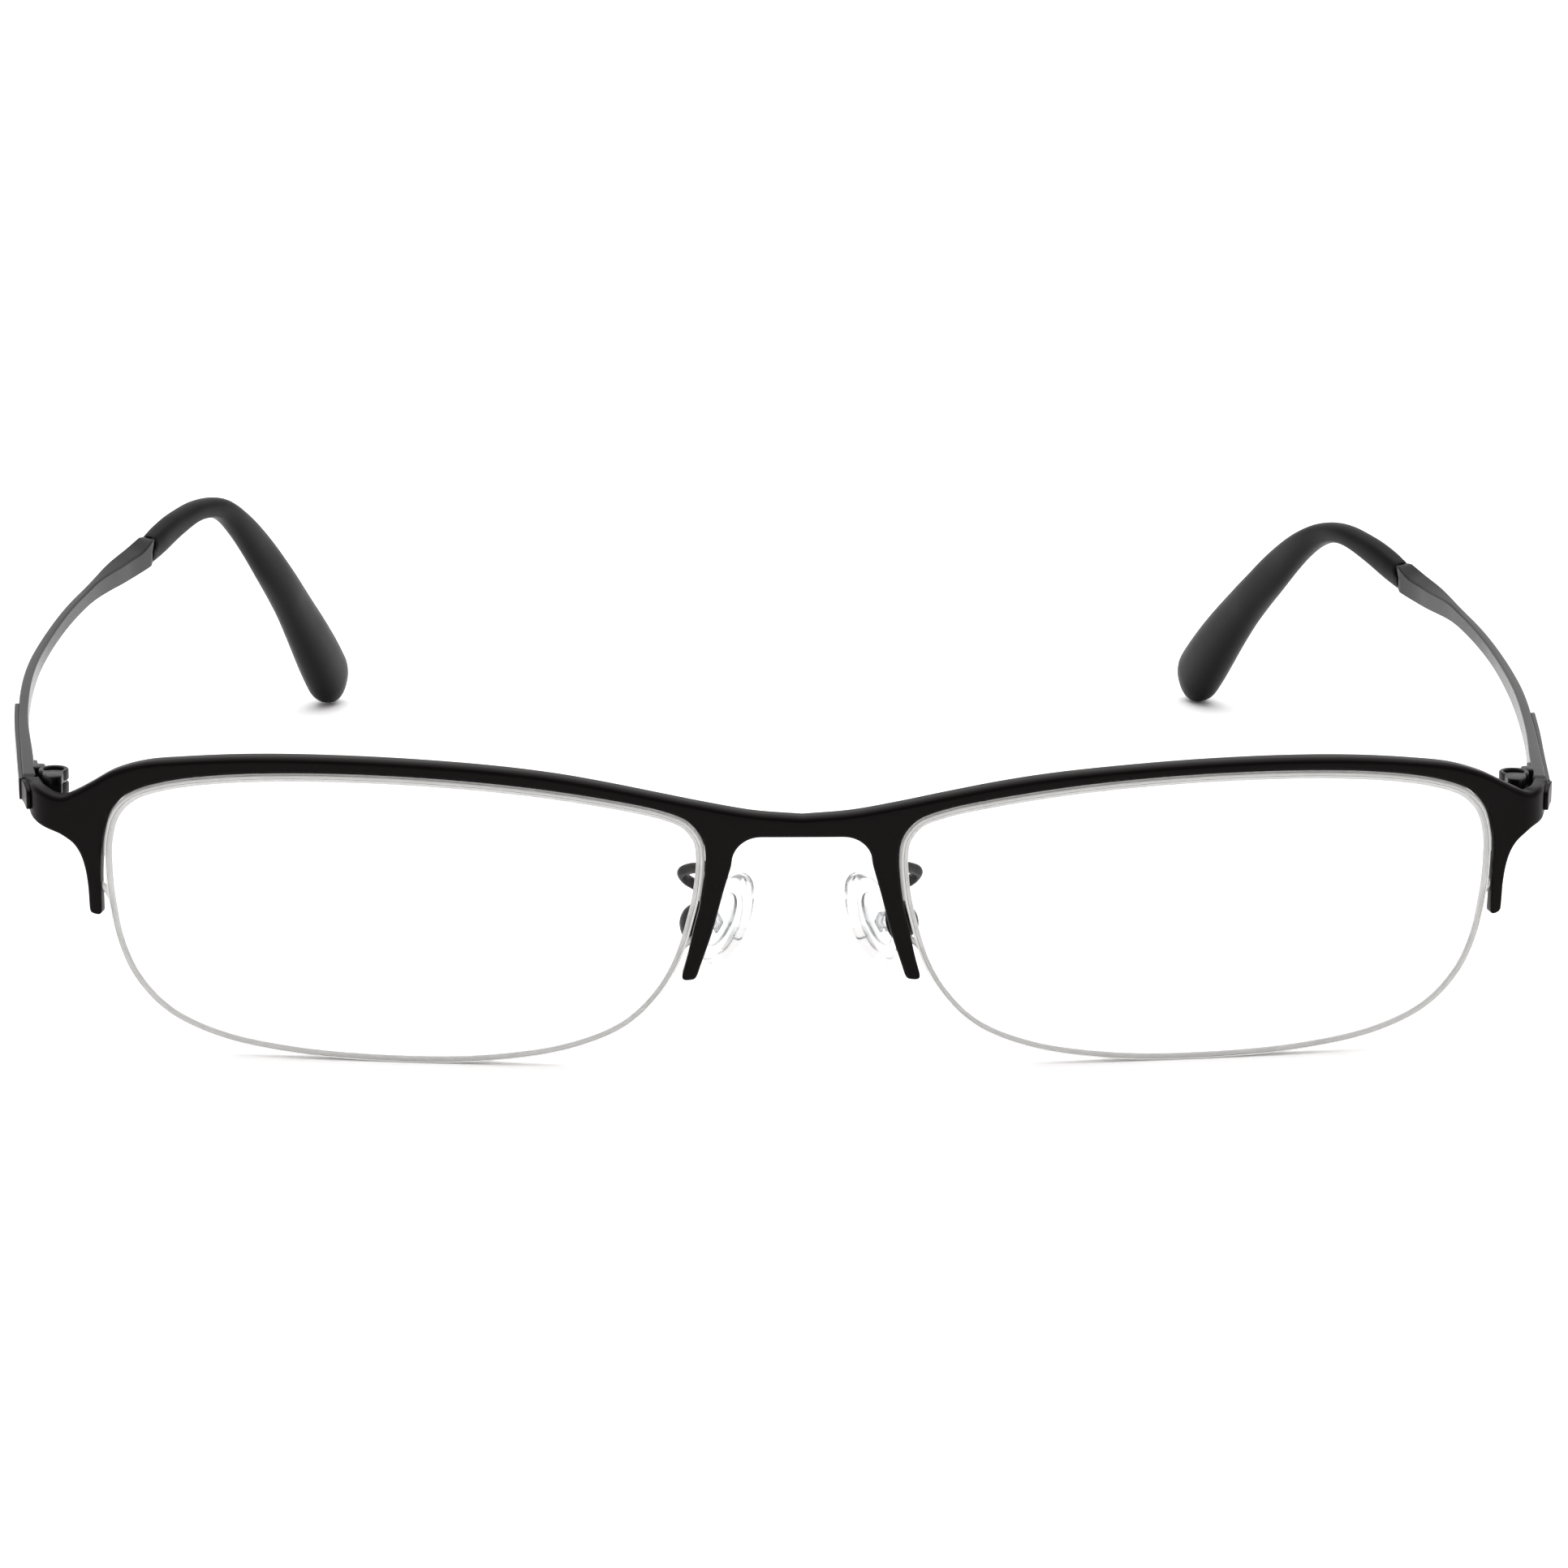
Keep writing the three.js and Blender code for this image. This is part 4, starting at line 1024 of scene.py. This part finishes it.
HINGE_TOP = HINGE_BASE + 3 * KNUCKLE_HEIGHT + 2 * KNUCKLE_GAP
MIDDLE_LOW = HINGE_BASE + KNUCKLE_HEIGHT + KNUCKLE_GAP
MIDDLE_HIGH = MIDDLE_LOW + KNUCKLE_HEIGHT
PIN_HOLE = 0.6
SCREW_RECESS = 0.72
SHANK_RADIUS = 0.55
SCREW_HEAD_RADIUS = 0.8


def at_hinge(part, side):
    """Moves a part drawn round the hinge of the wearer's left to its own side and height."""
    x, y = side["hinge"]
    rise = side["end_height"] - HINGE_MIDDLE
    return moved(part, lambda p: Vector((side["sign"] * (p.x + x), p.y + y, p.z + rise)))


def knuckle(low, high, recess=0.0):
    profile = [(PIN_HOLE, low), (KNUCKLE_RADIUS, low), (KNUCKLE_RADIUS, high)]
    if recess:
        profile += [(COUNTERBORE, high), (COUNTERBORE, high - recess)]
    profile.append((PIN_HOLE, high - recess))
    return lathe(rounded_profile(profile, 0.16, closed=True), closed=True)


def hinge_front_leaf(side):
    """Two knuckles, the upper one counterbored for the screw, on arms from one block."""
    knuckles = [
        knuckle(HINGE_BASE, HINGE_BASE + KNUCKLE_HEIGHT),
        knuckle(HINGE_TOP - KNUCKLE_HEIGHT, HINGE_TOP, recess=SCREW_RECESS),
    ]
    plan = round_corners(
        [(-0.95, -2.7), (0.2, -3.05), (0.85, -1.9), (0.95, -0.62), (-1.0, -0.62)], 0.3)
    arms = [
        rounded_slab(plan, HINGE_BASE, HINGE_BASE + KNUCKLE_HEIGHT, 0.12),
        rounded_slab(plan, HINGE_TOP - KNUCKLE_HEIGHT, HINGE_TOP, 0.12),
    ]
    root = round_corners(
        [(-0.95, -2.7), (0.2, -3.05), (0.82, -1.95), (0.6, -1.5), (-0.9, -1.5)], 0.2)
    block = rounded_slab(root, HINGE_BASE + 0.1, HINGE_TOP - 0.1, 0.05)
    return at_hinge(merge(*knuckles, *arms, block), side)


def hinge_temple_leaf(side):
    """The middle knuckle, its arm, and the plate and lobe on the inner face of the temple."""
    arm = round_corners([(0.62, 0.2), (1.12, 0), (1.74, 2.2), (1.2, 2.5)], 0.15)
    plate = round_corners([(1.45, 1.8), (1.95, 1.8), (2.38, 5.4), (1.98, 5.4)], 0.15)
    lobe = round_corners([(0.85, 1.45), (2.0, 1.2), (2.15, 2.7), (1.0, 2.75)], 0.42)
    return at_hinge(merge(
        knuckle(MIDDLE_LOW, MIDDLE_HIGH),
        rounded_slab(arm, MIDDLE_LOW, MIDDLE_HIGH, 0.1),
        rounded_slab(plate, HINGE_MIDDLE - 1.0, HINGE_MIDDLE + 1.0, 0.1),
        rounded_slab(lobe, HINGE_MIDDLE - 1.1, HINGE_MIDDLE + 1.4, 0.18, 5),
    ), side)


def hinge_screw(side):
    """A cheese-head screw. The slot is left between two half-round lands on the head."""
    seat = HINGE_TOP - SCREW_RECESS
    low, shoulder, slot_floor = HINGE_BASE + 0.05, seat + 0.02, seat + 0.16
    shank = lathe(rounded_profile([
        (0, low), (SHANK_RADIUS, low), (SHANK_RADIUS, shoulder),
        (SCREW_HEAD_RADIUS, shoulder), (SCREW_HEAD_RADIUS, slot_floor), (0, slot_floor),
    ], 0.04))
    lands = []
    land_radius = SCREW_HEAD_RADIUS - 0.02
    for flip in (1, -1):
        outline = [
            (land_radius * math.cos(a), flip * land_radius * math.sin(a))
            for a in np.linspace(0.2, math.pi - 0.2, 20)
        ]
        lands.append(rounded_slab(outline, slot_floor - 0.02, seat + 0.4, 0.05, 2))
    return at_hinge(merge(shank, *lands), side)


def hinge_washer(side, low):
    """A thin ring in the gap above a knuckle."""
    middle = low + KNUCKLE_GAP / 2
    hole, radius, half = 0.62, 1.12, 0.065
    profile = [
        (hole, middle - half), (radius, middle - half), (radius, middle + half),
        (hole, middle + half),
    ]
    return at_hinge(lathe(rounded_profile(profile, 0.02, closed=True), closed=True), side)


# ------------------------------------------------------------------ nose pads

PAD_LENGTH = 9.8
PAD_WIDTH = 6.2
PAD_RISE = 0.8
PAD_BACK = 2.25
PAD_PIVOT = 0.25
PAD_NARROWING = 0.14
ARM_RADIUS = 0.5


def at_pad(part, sign):
    """Moves a part drawn on its own axis, with the nose at +Z, to the cup of one side."""
    up = (PAD_UP - PAD_NORMAL * PAD_UP.dot(PAD_NORMAL)).normalized()
    across = up.cross(PAD_NORMAL)

    def place(p):
        q = CUP_CENTRE + across * p.x + up * p.y + PAD_NORMAL * p.z
        return Vector((sign * q.x, q.y, q.z))

    return moved(part, place)


def pad_box(sign):
    """The round cup, closed at the back."""
    profile = [(0, -1.15), (0.55, -1.12), (1.05, -0.95), (1.45, -0.65), (1.7, -0.3), (1.8, 0.1),
               (1.8, 0.78), (1.74, 0.88), (1.4, 0.9), (1.3, 0.8), (1.3, -0.4), (0, -0.45)]
    return at_pad(lathe(profile, 56), sign)


def pad_screw(sign):
    """The pin across the cup on which the pad rocks."""
    half_length, radius = 1.62, 0.34
    along = [(x, 0, PAD_PIVOT) for x in np.linspace(-half_length, half_length, 8)]
    return at_pad(tube(along, radius, sides=16, end_steps=2), sign)


def oval_plate(half_x, half_y, low, high, radius, rise):
    outline = [(x, y + rise) for x, y in oval(half_x, half_y, 2.0, 48)]
    return rounded_slab(outline, low, high, radius)


def pad_core(sign):
    """The hard insert of a pad: an oval plate on a square stem that enters the cup."""
    base = PAD_BACK + 0.5
    square = round_corners([(-0.7, -0.7), (0.7, -0.7), (0.7, 0.7), (-0.7, 0.7)], 0.15)
    stem = rounded_slab(square, -0.3, base + 0.1, 0.08)
    return at_pad(merge(stem, oval_plate(1.6, 3.0, base, base + 0.5, 0.15, PAD_RISE / 2)), sign)


def nose_pad(sign):
    """An oval pad with a soft edge, domed towards the nose and flat at the back."""
    rings = []
    levels = [(0.62, 0.0), (0.8, 0.03), (0.91, 0.16), (0.97, 0.4), (1.0, 0.72), (0.985, 1.0),
              (0.93, 1.32), (0.84, 1.6), (0.7, 1.86), (0.52, 2.04), (0.3, 2.16), (0.12, 2.2)]
    for size, height in levels:
        ring = []
        for k in range(72):
            a = 2 * math.pi * k / 72
            x, y = size * math.cos(a), size * math.sin(a)
            narrowing = 1 - PAD_NARROWING * y
            ring.append(Vector((
                x * narrowing * PAD_WIDTH / 2, y * PAD_LENGTH / 2 + PAD_RISE, height + PAD_BACK)))
        rings.append(ring)
    return at_pad(bridge_rings(rings), sign)


def pad_arm(sign):
    """The wire that bends back and down from the nose-side leg to the cup."""
    route = [(7.9, 3.45, 18.8), (8.5, 4.9, 18.75), (9.8, 6.7, 18.3), (10.6, 7.9, 17.6),
             (10.2, 8.8, 16.65), (9.1, 9.0, 15.85), (8.6, 8.7, 15.0), (8.93, 8.75, 14.1)]
    line = smooth_line([(sign * x, y, z) for x, y, z in route], per_span=10)
    return tube(line, ARM_RADIUS, sides=28)


# ------------------------------------------------------------------ the pieces


def side_pieces(name, side):
    """The pieces of one side, as (node, ending of the name, mesh, materials, body, slot)."""
    sign = side["sign"]
    temple, pad = f"{name}_temple", f"{name}_pad"
    lens_materials = [lens_glass, lens_edge, lens_painted_shade]
    strip = merge(temple_strip(side), temple_core(side))
    front_leaf, temple_leaf = hinge_front_leaf(side), hinge_temple_leaf(side)
    lower, upper = (hinge_washer(side, low) for low in (HINGE_BASE + KNUCKLE_HEIGHT, MIDDLE_HIGH))
    return [
        (f"lens_{name}", "clear", lens(sign), lens_materials, "front", "lens"),
        (f"rim_liner_{name}", "strip", rim_liner(sign), [nylon], "front", "nylon"),
        (f"nylon_cord_{name}", "line", nylon_cord(sign), [nylon], "front", "nylon"),
        (f"hinge_front_leaf_{name}", "shape", front_leaf, [dark_metal], "front", "grey_metal"),
        (f"hinge_temple_leaf_{name}", "shape", temple_leaf, [dark_metal], temple, "grey_metal"),
        (f"hinge_screw_{name}", "shape", hinge_screw(side), [screw_steel], "front", "steel"),
        (f"hinge_washer_lower_{name}", "ring", lower, [nylon], "front", "nylon"),
        (f"hinge_washer_upper_{name}", "ring", upper, [nylon], "front", "nylon"),
        (f"temple_{name}", "strip", strip, [gunmetal], temple, "grey_metal"),
        (f"temple_plate_{name}", "shape", temple_plate(side), [gunmetal], temple, "grey_metal"),
        (f"temple_tip_{name}", "sleeve", temple_tip(side), [tip_plastic], temple, "black_plastic"),
        (f"pad_arm_{name}", "wire", pad_arm(sign), [black_paint], "front", "black_metal"),
        (f"pad_box_{name}", "cup", pad_box(sign), [black_paint], "front", "black_metal"),
        (f"pad_screw_{name}", "pin", pad_screw(sign), [screw_steel], "front", "steel"),
        (f"pad_core_{name}", "insert", pad_core(sign), [core_plastic], pad, "smoky_plastic"),
        (f"nose_pad_{name}", "soft", nose_pad(sign), [silicone], pad, "clear_silicone"),
    ]


for side_name, side in SIDES.items():
    for node, ending, mesh_data, materials, body, slot in side_pieces(side_name, side):
        make_piece(f"{node}_{ending}", mesh_data, materials, body, slot, [node])

# ------------------------------------------------------------------ stage, light and camera


FLOOR_CLEARANCE = 0.00002


def make_floor():
    material, nodes, _ = new_material("white_table")
    shader = nodes["Principled BSDF"]
    shader.inputs["Base Color"].default_value = (0.93, 0.93, 0.93, 1)
    shader.inputs["Roughness"].default_value = 0.9
    shader.inputs["Specular IOR Level"].default_value = 0.1
    mesh = bpy.data.meshes.new("table_top")
    reach = 6.0
    corners = [(-reach, -reach, 0), (reach, -reach, 0), (reach, reach, 0), (-reach, reach, 0)]
    mesh.from_pydata(corners, [], [(0, 1, 2, 3)])
    mesh.materials.append(material)
    floor = bpy.data.objects.new("table_top", mesh)
    floor.location.z = -FLOOR_CLEARANCE
    bpy.context.scene.collection.objects.link(floor)


def make_world():
    """A bright ceiling and back wall, darker behind the camera, as in a tent of white cloth."""
    world = bpy.data.worlds.new("studio")
    bpy.context.scene.world = world
    world.use_nodes = True
    nodes, links = world.node_tree.nodes, world.node_tree.links
    where = nodes.new("ShaderNodeTexCoord")
    split = nodes.new("ShaderNodeSeparateXYZ")
    links.new(where.outputs["Generated"], split.inputs["Vector"])
    back_wall = add_range(nodes, -1.0, 0.1, 0.12, 1.0)
    links.new(split.outputs["Y"], back_wall.inputs["Value"])
    ceiling = add_range(nodes, 0.1, 0.9, 0.0, 1.2)
    links.new(split.outputs["Z"], ceiling.inputs["Value"])
    brighter = nodes.new("ShaderNodeMath")
    brighter.operation = "MAXIMUM"
    links.new(back_wall.outputs["Result"], brighter.inputs[0])
    links.new(ceiling.outputs["Result"], brighter.inputs[1])
    background = nodes["Background"]
    background.inputs["Color"].default_value = (1.0, 0.985, 0.98, 1)
    links.new(brighter.outputs["Value"], background.inputs["Strength"])


def add_softbox(name, place, target, size, power):
    data = bpy.data.lights.new(name, "AREA")
    data.shape = "RECTANGLE"
    data.size, data.size_y = size
    data.energy = power
    light = bpy.data.objects.new(name, data)
    light.location = place
    light.rotation_euler = (Vector(target) - Vector(place)).to_track_quat("-Z", "Y").to_euler()
    bpy.context.scene.collection.objects.link(light)


# Distances in millimetres in the drawing frame; the lens is a focal length.
CAMERA_ELEVATION = math.radians(14.94)
CAMERA_YAW = math.radians(1.66)
CAMERA_ROLL = math.radians(0.25)
CAMERA_DISTANCE = 550.0
CAMERA_TARGET = Vector((-1.55, 5.0, 26.39))
CAMERA_LENS = 140.9


def make_camera():
    data = bpy.data.cameras.new("camera")
    data.sensor_width = 36.0
    data.lens = CAMERA_LENS
    data.clip_start, data.clip_end = 0.01, 20.0
    down, yaw, roll = CAMERA_ELEVATION, CAMERA_YAW, CAMERA_ROLL
    level = math.cos(down)
    forward = Vector((math.sin(yaw) * level, math.cos(yaw) * level, -math.sin(down)))
    right = Vector((math.cos(yaw), -math.sin(yaw), 0.0))
    up = right.cross(forward)
    turned_right = right * math.cos(roll) + up * math.sin(roll)
    turned_up = up * math.cos(roll) - right * math.sin(roll)
    turn = Matrix((turned_right, turned_up, -forward)).transposed()
    camera = bpy.data.objects.new("camera", data)
    place = (CAMERA_TARGET - forward * CAMERA_DISTANCE) * MM + ORIGIN
    camera.matrix_world = Matrix.Translation(place) @ turn.to_4x4()
    bpy.context.scene.collection.objects.link(camera)
    bpy.context.scene.camera = camera


make_floor()
make_world()
add_softbox("overhead", (0.0, 0.1, 0.9), (0, 0, 0), (1.4, 1.2), 11.0)
make_camera()
bpy.context.scene.view_settings.view_transform = "Standard"
